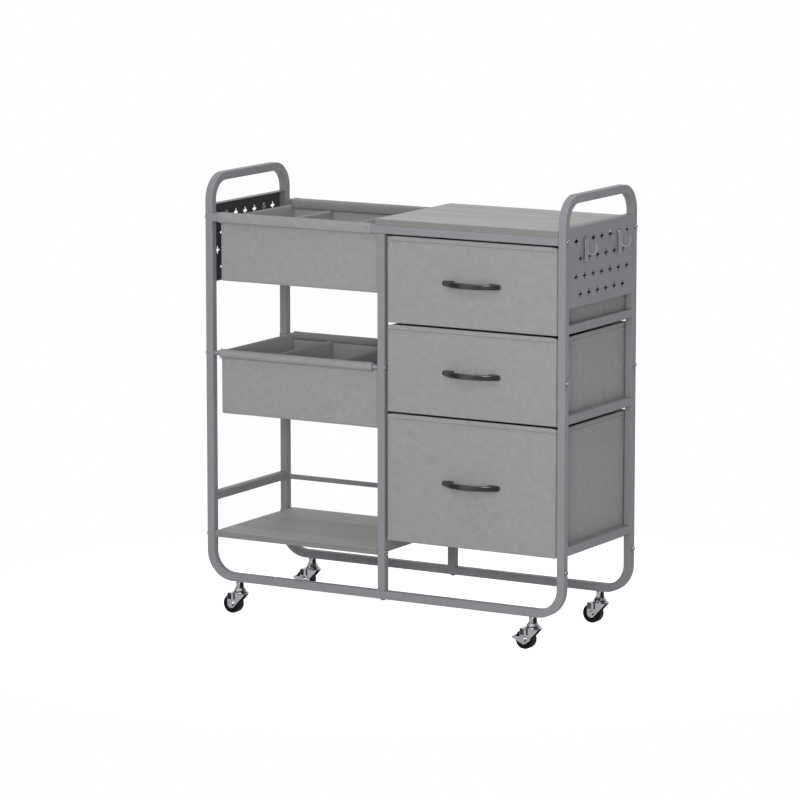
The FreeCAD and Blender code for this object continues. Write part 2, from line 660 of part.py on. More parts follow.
def frameBolt(name, sign, face, y, z, headHeight, grip, upright=False):
    # A bolt whose domed head lies on a tube's face, with its shank pointing inwards: along X, or up
    # through a base rail.
    body = newBody("bolt_" + name, isNode=False)
    length = plus(tube, grip)

    def outline(sketch):
        shank, head = half(cell("boltDiameter")), half(cell("boltHeadDiameter"))
        polygon(sketch, [(headHeight, 0), (headHeight, head), (0, head), (0, shank),
                         ("(-%s)" % length, shank), ("(-%s)" % length, 0)])

    revolve(body, "Bolt", "XZ_Plane", "H_Axis", outline)
    dome = value(headHeight)
    rim = circlesOf(half(cell("boltHeadDiameter")))
    roundEdges(body, "Dome", cell("boltHeadEdge"),
               lambda edge: rim(edge) and edge.CenterOfMass.x > dome - 1e-6)
    depth = cell("boltSocketDepth")
    hexagon(body, "Socket", "YZ_Plane", less(headHeight, depth), depth, cell("boltSocket"), cut=True)
    if upright:
        body.Placement.Rotation = FreeCAD.Rotation(vector(0, 1, 0), 90)
    elif sign < 0:
        body.setExpression("Placement.Rotation.Angle", "180 deg")
    place(body, face, y, z)
    return body


def makeFrameBolts():
    members = []
    outer = half(cell("cartWidth"))
    for end, endSign in ends.items():
        y = signed(endSign, postY)
        for side, sign in sides.items():
            lowGrip = cell("boltGrip") if side == "left" else cell("boltShortGrip")
            rows = (("rail", railBoltHeight, cell("boltGrip")), ("rod", rodMiddle, lowGrip),
                    ("shelf", shelfBoltLevel, lowGrip))
            for row, level, grip in rows:
                name = "%s_%s_%s" % (row, end, side)
                face = signed(sign, outer)
                members.append(frameBolt(name, sign, face, y, level, cell("boltHeadHeight"), grip))
        members.append(frameBolt("post_" + end, 1, middleX, y, cell("baseRailHeight"), cell("boltHeadHeight"),
                                 cell("endPlate"), upright=True))
        for row, level in (("rod", rodMiddle), ("shelf", shelfBoltLevel)):
            name = "%s_%s_middle" % (row, end)
            slim = cell("boltSlimHeadHeight")
            members.append(frameBolt(name, 1, middleRight, y, level, slim, cell("boltGrip")))
    compound("frame_bolts", members)


def makePegboards():
    # A sheet with folded edges above and below and four staggered rows of cross shaped holes. The
    # left one is the mirror image of the right one.
    body = newBody("pegboard_right")
    outer = half(cell("cartWidth"))
    top = pegTop
    bottom = less(top, cell("pegHeight"))
    sheetIn = less(outer, cell("pegSheet"))
    flangeIn = less(outer, cell("pegFlange"))
    faces, folds = (sheetIn, outer), (flangeIn, outer)
    depth = ("(-%s)" % postBack, postBack)
    box(body, "Sheet", faces, depth, (bottom, top))
    box(body, "TopFold", folds, depth, (less(top, cell("pegSheet")), top))
    box(body, "BottomFold", folds, depth, (bottom, plus(bottom, cell("pegSheet"))))
    pitch = cell("pegPitchAlong")
    for row in range(int(value(cell("pegRows")))):
        columns = less(cell("pegColumns"), 1) if row % 2 else cell("pegColumns")
        level = less(top, cell("pegFirstRow"), times(row, cell("pegPitchUp")))
        first = "(-%s)" % half(times(less(columns, 1), pitch))
        hole = extrude(body, "Hole%d" % row, "YZ_Plane", *faces,
                       lambda sketch: pegOutline(sketch, first, level), cut=True)
        hole.Refine = False
        pattern = body.newObject("PartDesign::LinearPattern", "Row%d" % row)
        pattern.Originals = [hole]
        pattern.Refine = False
        pattern.Direction = (hole.Profile[0], ["H_Axis"])
        pattern.Mode = "Spacing"
        pattern.setExpression("Offset", pitch)
        pattern.setExpression("Occurrences", columns)
        body.Tip = pattern
        doc.recompute()
    mirror = doc.addObject("Part::Mirroring", "Mirror_pegboard_left")
    mirror.Source = body
    mirror.Normal = vector(1, 0, 0)
    mirror.Label = "pegboard_left"
    nodes.append(mirror)


def pegOutline(sketch, y, z):
    # A cross with square arm ends round a round middle: four arcs and three straight edges per arm.
    long, short, eye = half(cell("pegCross")), half(cell("pegArm")), half(cell("pegEye"))
    cy, cz, l, a, r = [value(item) for item in (y, z, long, short, eye)]
    foot = math.sqrt(r * r - a * a)
    opening = math.degrees(math.asin(a / r))
    centre = vector(cy, cz, 0)
    for turn in range(4):
        along, beside = (((0, -1), (1, 0)), ((1, 0), (0, 1)), ((0, 1), (-1, 0)), ((-1, 0), (0, -1)))[turn]

        def corner(out, over):
            return centre + vector(along[0] * out + beside[0] * over, along[1] * out + beside[1] * over, 0)

        first = sketch.GeometryCount
        for start, end in (((foot, -a), (l, -a)), ((l, -a), (l, a)), ((l, a), (foot, a))):
            sketch.addGeometry(Part.LineSegment(corner(*start), corner(*end)), False)
        base = 90 * turn - 90
        sketch.addGeometry(arc(centre, r, base + opening, base + 90 - opening), False)
        for index in (0, 1):
            sketch.addConstraint(Sketcher.Constraint("Coincident", first + index, 2, first + index + 1, 1))
        sketch.addConstraint(Sketcher.Constraint("Coincident", first + 2, 2, first + 3, 1))
        sign = along[0] + along[1]
        upright = along[0] == 0
        ending = ("DistanceY", z) if upright else ("DistanceX", y)
        middle = ("DistanceX", y) if upright else ("DistanceY", z)
        for end in (1, 2):
            dimension(sketch, ending[0], (-1, 1, first + 1, end), plus(ending[1], signed(sign, long)))
        over = beside[0] + beside[1]
        for edge, way in ((0, -over), (2, over)):
            for end in (1, 2):
                dimension(sketch, middle[0], (-1, 1, first + edge, end), plus(middle[1], signed(way, short)))
        if turn:
            sketch.addConstraint(Sketcher.Constraint("Coincident", 3, 3, first + 3, 3))
            sketch.addConstraint(Sketcher.Constraint("Equal", 3, first + 3))
            sketch.addConstraint(Sketcher.Constraint("Coincident", first - 1, 2, first, 1))
    sketch.addConstraint(Sketcher.Constraint("Coincident", sketch.GeometryCount - 1, 2, 0, 1))
    dimension(sketch, "Radius", (3,), eye)
    dimension(sketch, "DistanceX", (-1, 1, 3, 3), y)
    dimension(sketch, "DistanceY", (-1, 1, 3, 3), z)


def makeHooks(side):
    # Two hooks, each a flat plate with a round prong bent up in front of it. The tongue of each stands
    # on the foot of a cross shaped hole in the top row and its catch lies behind the panel, over the hole.
    sign = sides[side]
    members = []
    rowLevel = less(pegTop, cell("pegFirstRow"))
    thick, gap = cell("hookThickness"), cell("hookClearance")
    plateFront = plus(cell("hookStandOff"), thick)
    plateMiddle = plus(cell("hookStandOff"), half(thick))
    for end, endSign in ends.items():
        body = newBody("hook_%s_%s" % (side, end), isNode=False)
        wide = half(cell("hookWidth"))
        box(body, "Plate", (cell("hookStandOff"), plateFront), ("(-%s)" % wide, wide),
            ("(-%s)" % cell("hookHeight"), 0))
        drop, bend, lip = [cell(alias) for alias in ("hookBendDrop", "hookBendRadius", "hookLip")]
        spine = sketchOn(body, "Spine", "XZ_Plane")
        x, d, r, tip = [value(item) for item in (plateMiddle, drop, bend, lip)]
        spine.addGeometry(arc(vector(x + r, -d, 0), r, 180, 360), False)
        spine.addGeometry(Part.LineSegment(vector(x + 2 * r, -d, 0), vector(x + 2 * r, tip - d, 0)), False)
        spine.addConstraint(Sketcher.Constraint("Tangent", 0, 2, 1, 1))
        spine.addConstraint(Sketcher.Constraint("Vertical", 1))
        dimension(spine, "Radius", (0,), bend)
        dimension(spine, "DistanceX", (-1, 1, 0, 1), plateMiddle)
        dimension(spine, "DistanceY", (-1, 1, 0, 1), "(-%s)" % drop)
        dimension(spine, "DistanceY", (-1, 1, 0, 3), "(-%s)" % drop)
        dimension(spine, "DistanceY", (-1, 1, 1, 2), less(lip, drop))
        profile = sketchOn(body, "Section", "XY_Plane", "(-%s)" % drop)
        circle(profile, plateMiddle, 0, cell("hookProng"))
        pipe = body.newObject("PartDesign::AdditivePipe", "Prong")
        pipe.Profile = profile
        pipe.Spine = (spine, [])
        doc.recompute()
        lipTop = tip - d
        tipRim = circlesOf(half(cell("hookProng")))
        roundEdges(body, "Tip", cell("hookProngEdge"),
                   lambda edge: tipRim(edge) and edge.CenterOfMass.z > lipTop - 1e-6)
        tongue = ("(-%s)" % half(cell("hookTongue")), half(cell("hookTongue")))
        inside = less("(-%s)" % cell("pegSheet"), gap)
        foot = less("(-%s)" % half(cell("pegCross")), cell("hookTopRise"))
        shelf = plus(foot, cell("hookTongueHeight"))
        catchTop = less(plus(half(cell("pegCross")), cell("hookCatchLap")), cell("hookTopRise"))
        box(body, "Tongue", (less(inside, thick), cell("hookStandOff")), tongue, (foot, shelf))
        box(body, "Catch", (less(inside, thick), inside), tongue, (shelf, catchTop))
        if sign < 0:
            body.setExpression("Placement.Rotation.Angle", "180 deg")
        seat = plus(rowLevel, cell("hookTopRise"))
        along = signed(endSign, times(2, cell("pegPitchAlong")))
        place(body, signed(sign, half(cell("cartWidth"))), along, seat)
        members.append(body)
    compound("hooks_" + side, members)


def makeTabletop():
    body = newBody("tabletop")
    front = "(-%s)" % postFront
    bottom, top = cell("deckHeight"), plus(cell("deckHeight"), cell("boardThickness"))
    box(body, "Board", (deckLeft, deckRight), (front, postFront), (bottom, top))
    roundEdges(body, "SoftEdge", cell("boardEdge"),
               lambda edge: min(point.Point.z for point in edge.Vertexes) > value(top) - 1e-6)

    def pilots(sketch):
        for x in deckScrewPlaces:
            for sign in ends.values():
                circle(sketch, x, signed(sign, postY), cell("deckScrewDiameter"))

    extrude(body, "Pilots", "XY_Plane", bottom, plus(bottom, cell("deckScrewBite")), pilots, cut=True)


def makeDeckScrews():
    members = []
    for index, x in enumerate(deckScrewPlaces):
        for end, sign in ends.items():
            body = newBody("deck_screw_%s_%d" % (end, index), isNode=False)
            under = upperRailUnder
            low = less(under, cell("deckScrewHeadHeight"))
            high = plus(cell("deckHeight"), cell("deckScrewBite"))
            extrude(body, "Head", "XY_Plane", low, under,
                    lambda sketch: circle(sketch, 0, 0, cell("deckScrewHead")))
            extrude(body, "Shank", "XY_Plane", under, high,
                    lambda sketch: circle(sketch, 0, 0, cell("deckScrewDiameter")))
            place(body, x, signed(sign, postY), 0)
            members.append(body)
    compound("tabletop_screws", members)


def makeShelf():
    body = newBody("shelf_board")
    left = plus("(-%s)" % endPostInner, cell("shelfOuterGap"))
    right = less(middleLeft, cell("shelfInnerGap"))
    top = cell("shelfTopHeight")
    bottom = less(top, cell("boardThickness"))
    box(body, "Board", (left, right), ("(-%s)" % postFront, postFront), (bottom, top))
    roundEdges(body, "SoftEdge", cell("boardEdge"),
               lambda edge: min(point.Point.z for point in edge.Vertexes) > value(top) - 1e-6)
    reach = cell("boltGrip")

    def pilots(sketch):
        for sign in ends.values():
            circle(sketch, signed(sign, postY), shelfBoltLevel, cell("boltDiameter"))

    extrude(body, "PilotsLeft", "YZ_Plane", left, plus(left, reach), pilots, cut=True)
    extrude(body, "PilotsRight", "YZ_Plane", less(right, reach), right, pilots, cut=True)


def makeRunners(number):
    # An angle on each side under the drawer. The left one of the lowest drawer stands on a lower rail,
    # so its leg points down.
    members = []
    sheetThickness = cell("runnerSheet")
    ledgeTop = less(drawerBottom[number], cell("softGap"))
    ledgeBottom = less(ledgeTop, sheetThickness)
    reach = less(postBack, cell("runnerEndGap"))
    for side, face in (("left", middleRight), ("right", endPostInner)):
        body = newBody("runner_%d_%s" % (number, side), isNode=False)
        inward = 1 if side == "left" else -1
        legDown = number == 3 and side == "left"
        legEnd = less(ledgeTop, cell("runnerLeg")) if legDown else plus(ledgeBottom, cell("runnerLeg"))
        nearLedge, farLedge = (ledgeTop, ledgeBottom) if legDown else (ledgeBottom, ledgeTop)
        flange = plus(face, signed(inward, cell("runnerFlange")))
        leg = plus(face, signed(inward, sheetThickness))
        corners = [(face, nearLedge), (flange, nearLedge), (flange, farLedge), (leg, farLedge), (leg, legEnd),
                   (face, legEnd)]
        extrude(body, "Angle", "XZ_Plane", "(-%s)" % reach, reach, lambda sketch: polygon(sketch, corners))
        members.append(body)
    compound("drawer_%d_runners" % number, members)


def screwCircles(sketch, z, diameter):
    for sign in sides.values():
        circle(sketch, plus(pullX, signed(sign, pullScrewX)), z, diameter)


pullScrewHole = plus(cell("pullScrewDiameter"), times(2, cell("boltClearance")))


def makeDrawerBox(number):
    # The cloth drawer: a tray with a front panel that stands a little above its sides.
    body = newBody("drawer_%d_box" % number)
    bottom, top = drawerBottom[number], drawerTop[number]
    rim = less(top, cell("drawerRimDrop"))
    wall = cell("drawerWall")
    box(body, "Tray", (drawerBodyLeft, drawerBodyRight), (drawerBodyFrontY, drawerBackY), (bottom, rim))
    box(body, "Hollow", (plus(drawerBodyLeft, wall), less(drawerBodyRight, wall)),
        (drawerInnerFrontY, less(drawerBackY, wall)), (plus(bottom, wall), rim), cut=True)
    sideGap = cell("drawerFrontSideGap")
    frontSides = (plus(middleRight, sideGap), less(endPostInner, sideGap))
    box(body, "Front", frontSides, (drawerFrontY, drawerBodyFrontY), (bottom, top))
    extrude(body, "ScrewHoles", "XZ_Plane", drawerFrontY, drawerInnerFrontY,
            lambda sketch: screwCircles(sketch, pullZ[number], pullScrewHole), cut=True)


def makeDrawerFrontBoard(number):
    body = newBody("drawer_%d_front_board" % number)
    wall, gap = cell("drawerWall"), cell("softGap")
    floorTop = plus(drawerBottom[number], wall, gap, cell("stiffener"), gap)
    front = plus(drawerInnerFrontY, gap)
    inner = (plus(drawerBodyLeft, wall, gap), less(drawerBodyRight, wall, gap))
    box(body, "Board", inner, (front, plus(front, cell("stiffener"))),
        (floorTop, less(drawerTop[number], cell("drawerRimDrop"))))
    extrude(body, "ScrewHoles", "XZ_Plane", front, plus(front, cell("stiffener")),
            lambda sketch: screwCircles(sketch, pullZ[number], pullScrewHole), cut=True)


def makeDrawerBottomBoard(number):
    body = newBody("drawer_%d_bottom_board" % number)
    wall, gap = cell("drawerWall"), cell("softGap")
    low = plus(drawerBottom[number], wall, gap)
    box(body, "Board", (plus(drawerBodyLeft, wall, gap), less(drawerBodyRight, wall, gap)),
        (plus(drawerInnerFrontY, gap), less(drawerBackY, wall, gap)), (low, plus(low, cell("stiffener"))))


def roundEndedSlot(sketch, reach, radius):
    # A strip along the sketch's first axis with round ends, reach from its middle to each tip.
    straight, r = value(less(reach, radius)), value(radius)
    first = sketch.GeometryCount
    sketch.addGeometry(Part.LineSegment(vector(-straight, -r, 0), vector(straight, -r, 0)), False)
    sketch.addGeometry(arc(vector(straight, 0, 0), r, -90, 90), False)
    sketch.addGeometry(Part.LineSegment(vector(straight, r, 0), vector(-straight, r, 0)), False)
    sketch.addGeometry(arc(vector(-straight, 0, 0), r, 90, 270), False)
    for index in range(4):
        following = first + (index + 1) % 4
        sketch.addConstraint(Sketcher.Constraint("Tangent", first + index, 2, following, 1))
    sketch.addConstraint(Sketcher.Constraint("Equal", first + 1, first + 3))
    for index in (1, 3):
        sketch.addConstraint(Sketcher.Constraint("PointOnObject", first + index, 3, -1))
    dimension(sketch, "Radius", (first + 1,), radius)
    dimension(sketch, "DistanceX", (-1, 1, first + 1, 3), less(reach, radius))
    dimension(sketch, "DistanceX", (-1, 1, first + 3, 3), less(radius, reach))


def makePull(number):
    # A bowed bar between two flat feet, round at both ends. Seen from above the bow is a ring segment.
    body = newBody("drawer_%d_pull" % number)
    spread, rise = half(cell("pullLength")), cell("pullRise")
    outerRadius = "((%s * %s + %s * %s) / (2 * %s))" % (spread, spread, rise, rise, rise)
    innerRadius = less(outerRadius, cell("pullThickness"))
    centreY = less(outerRadius, rise)
    innerSpread = "sqrt(%s * %s - %s * %s)" % (innerRadius, innerRadius, centreY, centreY)

    def bow(sketch):
        outer, inner = value(outerRadius), value(innerRadius)
        middle = vector(0, value(centreY), 0)
        outerAngle = math.degrees(math.asin(value(spread) / outer))
        innerAngle = math.degrees(math.asin(value(innerSpread) / inner))
        sketch.addGeometry(arc(middle, outer, 270 - outerAngle, 270 + outerAngle), False)
        sketch.addGeometry(arc(middle, inner, 270 - innerAngle, 270 + innerAngle), False)
        for sign, end in ((-1, 1), (1, 2)):
            outerEnd = vector(sign * value(spread), 0, 0)
            innerEnd = vector(sign * value(innerSpread), 0, 0)
            index = sketch.addGeometry(Part.LineSegment(outerEnd, innerEnd), False)
            sketch.addConstraint(Sketcher.Constraint("Coincident", 0, end, index, 1))
            sketch.addConstraint(Sketcher.Constraint("Coincident", 1, end, index, 2))
            sketch.addConstraint(Sketcher.Constraint("PointOnObject", index, 1, -1))
            sketch.addConstraint(Sketcher.Constraint("PointOnObject", index, 2, -1))
        sketch.addConstraint(Sketcher.Constraint("Coincident", 0, 3, 1, 3))
        sketch.addConstraint(Sketcher.Constraint("PointOnObject", 0, 3, -2))
        dimension(sketch, "Radius", (0,), outerRadius)
        dimension(sketch, "Radius", (1,), innerRadius)
        dimension(sketch, "DistanceY", (-1, 1, 0, 3), centreY)

    tall = half(cell("pullHeight"))
    extrude(body, "Bow", "XY_Plane", "(-%s)" % tall, tall, bow)
    roundEdges(body, "BowEdges", cell("pullEdge"),
               lambda edge: edge.Curve.TypeId == "Part::GeomCircle" and edge.Length > value(spread))
    for side, sign in sides.items():
        reach = sorted((signed(sign, spread), signed(sign, less(spread, cell("pullPadLength")))), key=value)
        box(body, "Foot_" + side, reach, ("(-%s)" % cell("pullPadThickness"), 0), ("(-%s)" % tall, tall))

    def outsideEnds(sketch):
        over = cell("pullLength")
        rectangle(sketch, "(-%s)" % over, over, "(-%s)" % cell("pullHeight"), cell("pullHeight"))
        roundEndedSlot(sketch, spread, tall)

    extrude(body, "RoundEnds", "XZ_Plane", "(-%s)" % rise, 0, outsideEnds, cut=True)

    def screws(sketch):
        for sign in sides.values():
            circle(sketch, signed(sign, pullScrewX), 0, cell("pullScrewDiameter"))

    extrude(body, "ScrewHoles", "XZ_Plane", "(-%s)" % cell("pullScrewBite"), 0, screws, cut=True)
    place(body, pullX, drawerFrontY, pullZ[number])


def makePullScrews(number):
    members = []
    boardBack = plus(drawerInnerFrontY, cell("softGap"), cell("stiffener"))
    for side, sign in sides.items():
        body = newBody("pull_screw_%d_%s" % (number, side), isNode=False)
        tip = less(drawerFrontY, cell("pullScrewBite"))
        extrude(body, "Shank", "XZ_Plane", tip, boardBack,
                lambda sketch: circle(sketch, 0, 0, cell("pullScrewDiameter")))
        extrude(body, "Head", "XZ_Plane", boardBack, plus(boardBack, cell("pullScrewHeadHeight")),
                lambda sketch: circle(sketch, 0, 0, cell("pullScrewHead")))
        place(body, plus(pullX, signed(sign, pullScrewX)), 0, pullZ[number])
        members.append(body)
    compound("drawer_%d_pull_screws" % number, members)


basketLeft = plus("(-%s)" % endPostInner, cell("basketLeftGap"))
basketRight = less(middleLeft, cell("basketRightGap"))
basketInnerLeft = plus(basketLeft, cell("basketWall"))
basketInnerRight = less(basketRight, cell("basketWall"))
basketInnerDepth = less(postY, cell("basketWall"))
squareSleeve = plus(halfTube, cell("softGap"), cell("sleeveWallSquare"))
roundSleeve = plus(half(cell("rodDiameter")), cell("softGap"), cell("sleeveWallRound"))
basketForms = {
    "upper": dict(
        hang=upperRailMiddle,
        bottom=less(upperRailMiddle, cell("basketDepthUpper")),
        sleeve=squareSleeve,
        panelTop=less(upperRailMiddle, halfTube, cell("softGap")),
        endTop=less(upperRailMiddle, cell("basketEndDrop")),
        dividerTop=less(upperRailMiddle, cell("dividerDropUpper")),
    ),
    "lower": dict(
        hang=rodMiddle,
        bottom=less(rodMiddle, cell("basketDepthLower")),
        sleeve=roundSleeve,
        panelTop=less(rodMiddle, half(cell("rodDiameter")), cell("softGap")),
        endTop=plus(rodMiddle, cell("basketEndRise")),
        dividerTop=less(rodMiddle, cell("dividerDropLower")),
    ),
}


def makeBasket(name, form):
    # A cloth tray hung by sleeves, with its end walls standing up between them.
    body = newBody("basket_" + name)
    outer = ("(-%s)" % postY, postY)
    inner = ("(-%s)" % basketInnerDepth, basketInnerDepth)
    wall = cell("basketWall")
    box(body, "Tray", (basketLeft, basketRight), outer, (form["bottom"], form["panelTop"]))
    box(body, "Hollow", (basketInnerLeft, basketInnerRight), inner,
        (plus(form["bottom"], wall), form["panelTop"]), cut=True)
    endDepth = less(postY, form["sleeve"], cell("softGap"))
    walls = {"Left": (basketLeft, basketInnerLeft), "Right": (basketInnerRight, basketRight)}
    for side, reach in walls.items():
        box(body, "End" + side, reach, ("(-%s)" % endDepth, endDepth), (form["panelTop"], form["endTop"]))
    low = plus("(-%s)" % endPostInner, cell("sleeveLeftGap"))
    high = less(middleLeft, cell("sleeveRightGap"))
    for end, sign in ends.items():
        y = signed(sign, postY)

        def section(sketch):
            if name == "upper":
                roundedSquare(sketch, y, form["hang"], times(2, form["sleeve"]), cell("tubeCorner"))
                bore = plus(tube, times(2, cell("softGap")))
                roundedSquare(sketch, y, form["hang"], bore, cell("tubeInnerCorner"))
            else:
                circle(sketch, y, form["hang"], times(2, form["sleeve"]))
                circle(sketch, y, form["hang"], plus(cell("rodDiameter"), times(2, cell("softGap"))))

        extrude(body, "Sleeve_" + end, "YZ_Plane", low, high, section)


def makeBasketBoard(name, form):
    body = newBody("basket_%s_bottom_board" % name)
    gap = cell("softGap")
    low = plus(form["bottom"], cell("basketWall"), gap)
    depth = less(basketInnerDepth, gap)
    box(body, "Board", (plus(basketInnerLeft, gap), less(basketInnerRight, gap)), ("(-%s)" % depth, depth),
        (low, plus(low, cell("stiffener"))))


def makeDividers(name, form):
    # Upright dividers between the compartments, notched under the sleeves.
    members = []
    gap = cell("softGap")
    low = plus(form["bottom"], cell("basketWall"), gap, cell("stiffener"), gap)
    wide = less(basketInnerDepth, gap)
    shoulder = less(form["hang"], form["sleeve"], gap)
    narrow = less(postY, cell("dividerNotch"))
    places = (plus(basketLeft, cell("dividerLeftPlace")), less(basketRight, cell("dividerRightPlace")))
    for index, x in enumerate(places):
        body = newBody("divider_%s_%d" % (name, index), isNode=False)
        thick = half(cell("dividerThickness"))
        top = form["dividerTop"]
        corners = [("(-%s)" % wide, low), (wide, low), (wide, shoulder), (narrow, shoulder), (narrow, top),
                   ("(-%s)" % narrow, top), ("(-%s)" % narrow, shoulder), ("(-%s)" % wide, shoulder)]
        extrude(body, "Panel", "YZ_Plane", less(x, thick), plus(x, thick),
                lambda sketch: polygon(sketch, corners))
        members.append(body)
    compound("basket_%s_dividers" % name, members)


def casterPlace(end, side):
    return signed(sides[side], casterX), signed(ends[end], postY)


def makeStems():
    # King pin, bearing cap, collar, lock nut and threaded stem of each caster.
    members = []
    for end, side in casterSpots:
        body = newBody("stem_%s_%s" % (end, side), isNode=False)
        crownUnder = less(cell("forkTopHeight"), cell("forkSheet"))
        headTop = less(crownUnder, cell("stemGap"))
        headLow = less(headTop, cell("stemPinHeadHeight"))
        capLow = plus(cell("forkTopHeight"), cell("raceHeight"), cell("stemGap"))
        capTop = plus(capLow, cell("stemCapHeight"))
        collarTop = plus(capTop, cell("stemCollarHeight"))
        threadTop = less(baseRailTop, cell("tubeWall"))
        head, pin = half(cell("stemPinHead")), half(cell("stemPin"))
        cap, collar, thread = half(cell("stemCap")), half(cell("stemCollar")), half(cell("stemThread"))
        corners = [(0, headLow), (head, headLow), (head, headTop), (pin, headTop), (pin, capLow),
                   (cap, capLow), (cap, less(capTop, cell("stemCapEdge"))), (collar, capTop),
                   (collar, collarTop), (thread, collarTop), (thread, threadTop), (0, threadTop)]
        revolve(body, "Stem", "XZ_Plane", "V_Axis", lambda sketch: polygon(sketch, corners))
        hexagon(body, "Nut", "XY_Plane", collarTop, cell("stemNutHeight"), cell("stemNut"))
        place(body, *casterPlace(end, side), 0)
        members.append(body)
    compound("caster_stems", members)


def makeFork(end, side):
    # A sheet fork: two legs under a crown, a bearing race on top and a pressed rib on each leg, which
    # swells out slowly from the leg's back edge and ends in a steep bevel.
    body = newBody("caster_%s_%s_fork" % (end, side))
    top, front = cell("forkTopHeight"), cell("forkFront")
    shoulder = less(top, cell("forkShoulder"))
    radius = cell("forkBoss")

    def leg(sketch):
        ax, az, r = value(axleX), value(axleZ), value(radius)
        fx, fz, topZ = value(front), value(shoulder), value(top)
        reach = math.hypot(fx - ax, fz - az)
        turn = math.atan2(fz - az, fx - ax) - math.acos(r / reach)
        touch = vector(ax + r * math.cos(turn), az + r * math.sin(turn), 0)
        line = Part.LineSegment
        sketch.addGeometry(line(vector(ax - r, az, 0), vector(ax - r, topZ, 0)), False)
        sketch.addGeometry(line(vector(ax - r, topZ, 0), vector(fx, topZ, 0)), False)
        sketch.addGeometry(line(vector(fx, topZ, 0), vector(fx, fz, 0)), False)
        sketch.addGeometry(line(vector(fx, fz, 0), touch), False)
        sketch.addGeometry(arc(vector(ax, az, 0), r, -180, math.degrees(turn)), False)
        for index in (0, 1, 2):
            sketch.addConstraint(Sketcher.Constraint("Coincident", index, 2, index + 1, 1))
        sketch.addConstraint(Sketcher.Constraint("Tangent", 3, 2, 4, 2))
        sketch.addConstraint(Sketcher.Constraint("Tangent", 4, 1, 0, 1))
        for index, kind in ((0, "Vertical"), (1, "Horizontal"), (2, "Vertical")):
            sketch.addConstraint(Sketcher.Constraint(kind, index))
        dimension(sketch, "Radius", (4,), radius)
        dimension(sketch, "DistanceX", (-1, 1, 4, 3), axleX)
        dimension(sketch, "DistanceY", (-1, 1, 4, 3), axleZ)
        dimension(sketch, "DistanceX", (-1, 1, 2, 1), front)
        dimension(sketch, "DistanceY", (-1, 1, 2, 1), top)
        dimension(sketch, "DistanceY", (-1, 1, 2, 2), shoulder)

    extrude(body, "Legs", "XZ_Plane", "(-%s)" % forkOuter, forkOuter, leg)
    wide = times(2, plus(cell("casterTrail"), radius, front))
    box(body, "WheelRoom", ("(-%s)" % wide, wide), ("(-%s)" % forkInner, forkInner),
        (0, less(top, cell("forkSheet"))), cut=True)
    ribFront = "(-%s)" % cell("forkRibFront")
    crestFront = less(ribFront, cell("forkRibBevel"))
    crestBack = less(crestFront, cell("forkRibCrest"))
    ribBack = plus(less(axleX, radius), cell("forkRibInset"))
    ribOuter = plus(forkOuter, cell("forkRibRise"))
    for ribSide, sign in ends.items():
        corners = [(ribBack, signed(sign, forkOuter)), (crestBack, signed(sign, ribOuter)),
                   (crestFront, signed(sign, ribOuter)), (ribFront, signed(sign, forkOuter))]
        extrude(body, "Rib_" + ribSide, "XY_Plane", cell("forkRibFoot"), top,
                lambda sketch, corners=corners: polygon(sketch, corners))
    extrude(body, "Race", "XY_Plane", top, plus(top, cell("raceHeight")),
            lambda sketch: circle(sketch, 0, 0, cell("raceDiameter")))
    raceTop = value(plus(top, cell("raceHeight")))
    raceRim = circlesOf(half(cell("raceDiameter")))
    roundEdges(body, "RaceEdge", cell("raceEdge"),
               lambda edge: raceRim(edge) and edge.CenterOfMass.z > raceTop - 1e-6)
    pinHole = plus(cell("stemPin"), times(2, cell("runningClearance")))
    extrude(body, "PinHole", "XY_Plane", less(top, cell("forkSheet")), plus(top, cell("raceHeight")),
            lambda sketch: circle(sketch, 0, 0, pinHole), cut=True)
    axleHole = plus(cell("axleDiameter"), times(2, cell("runningClearance")))
    extrude(body, "AxleHole", "XZ_Plane", "(-%s)" % forkOuter, forkOuter,
            lambda sketch: circle(sketch, axleX, axleZ, axleHole), cut=True)
    place(body, *casterPlace(end, side), 0)


def makeWheel(end, side):
    # A wheel whose sides are recessed between the hub and the rim ring.
    body = newBody("caster_%s_%s_wheel" % (end, side))
    wide, radius = half(cell("wheelWidth")), axleZ
    bore = plus(half(cell("axleDiameter")), cell("runningClearance"))
    hub, ring = cell("wheelHub"), cell("wheelRing")
    sunk = less(wide, cell("wheelRecess"))
    right = [(wide, radius), (wide, ring), (sunk, ring), (sunk, hub), (wide, hub), (wide, bore)]
    left = [("(-%s)" % across, out) for across, out in reversed(right)]
    revolve(body, "Wheel", "YZ_Plane", "H_Axis", lambda sketch: polygon(sketch, left + right))
    roundEdges(body, "TreadEdges", cell("wheelEdge"), circlesOf(radius))
    x, y = casterPlace(end, side)
    place(body, plus(x, axleX), y, axleZ)


def makeAxle(end, side):
    body = newBody("caster_%s_%s_axle" % (end, side))
    braked = (end, side) in brakedSpots
    seat = plus(leverOuter, cell("leverSideGap")) if braked else forkOuter
    tip = plus(seat, cell("axleHeadHeight"))
    shank, head = half(cell("axleDiameter")), half(cell("axleHead"))
    right = [(seat, shank), (seat, head), (tip, head), (tip, 0)]
    left = [("(-%s)" % across, out) for across, out in reversed(right)]
    revolve(body, "Axle", "YZ_Plane", "H_Axis", lambda sketch: polygon(sketch, left + right))
    far = value(tip)
    roundEdges(body, "HeadEdges", cell("axleHeadEdge"),
               lambda edge: circlesOf(head)(edge) and abs(edge.CenterOfMass.y) > far - 1e-6)
    x, y = casterPlace(end, side)
    place(body, plus(x, axleX), y, axleZ)


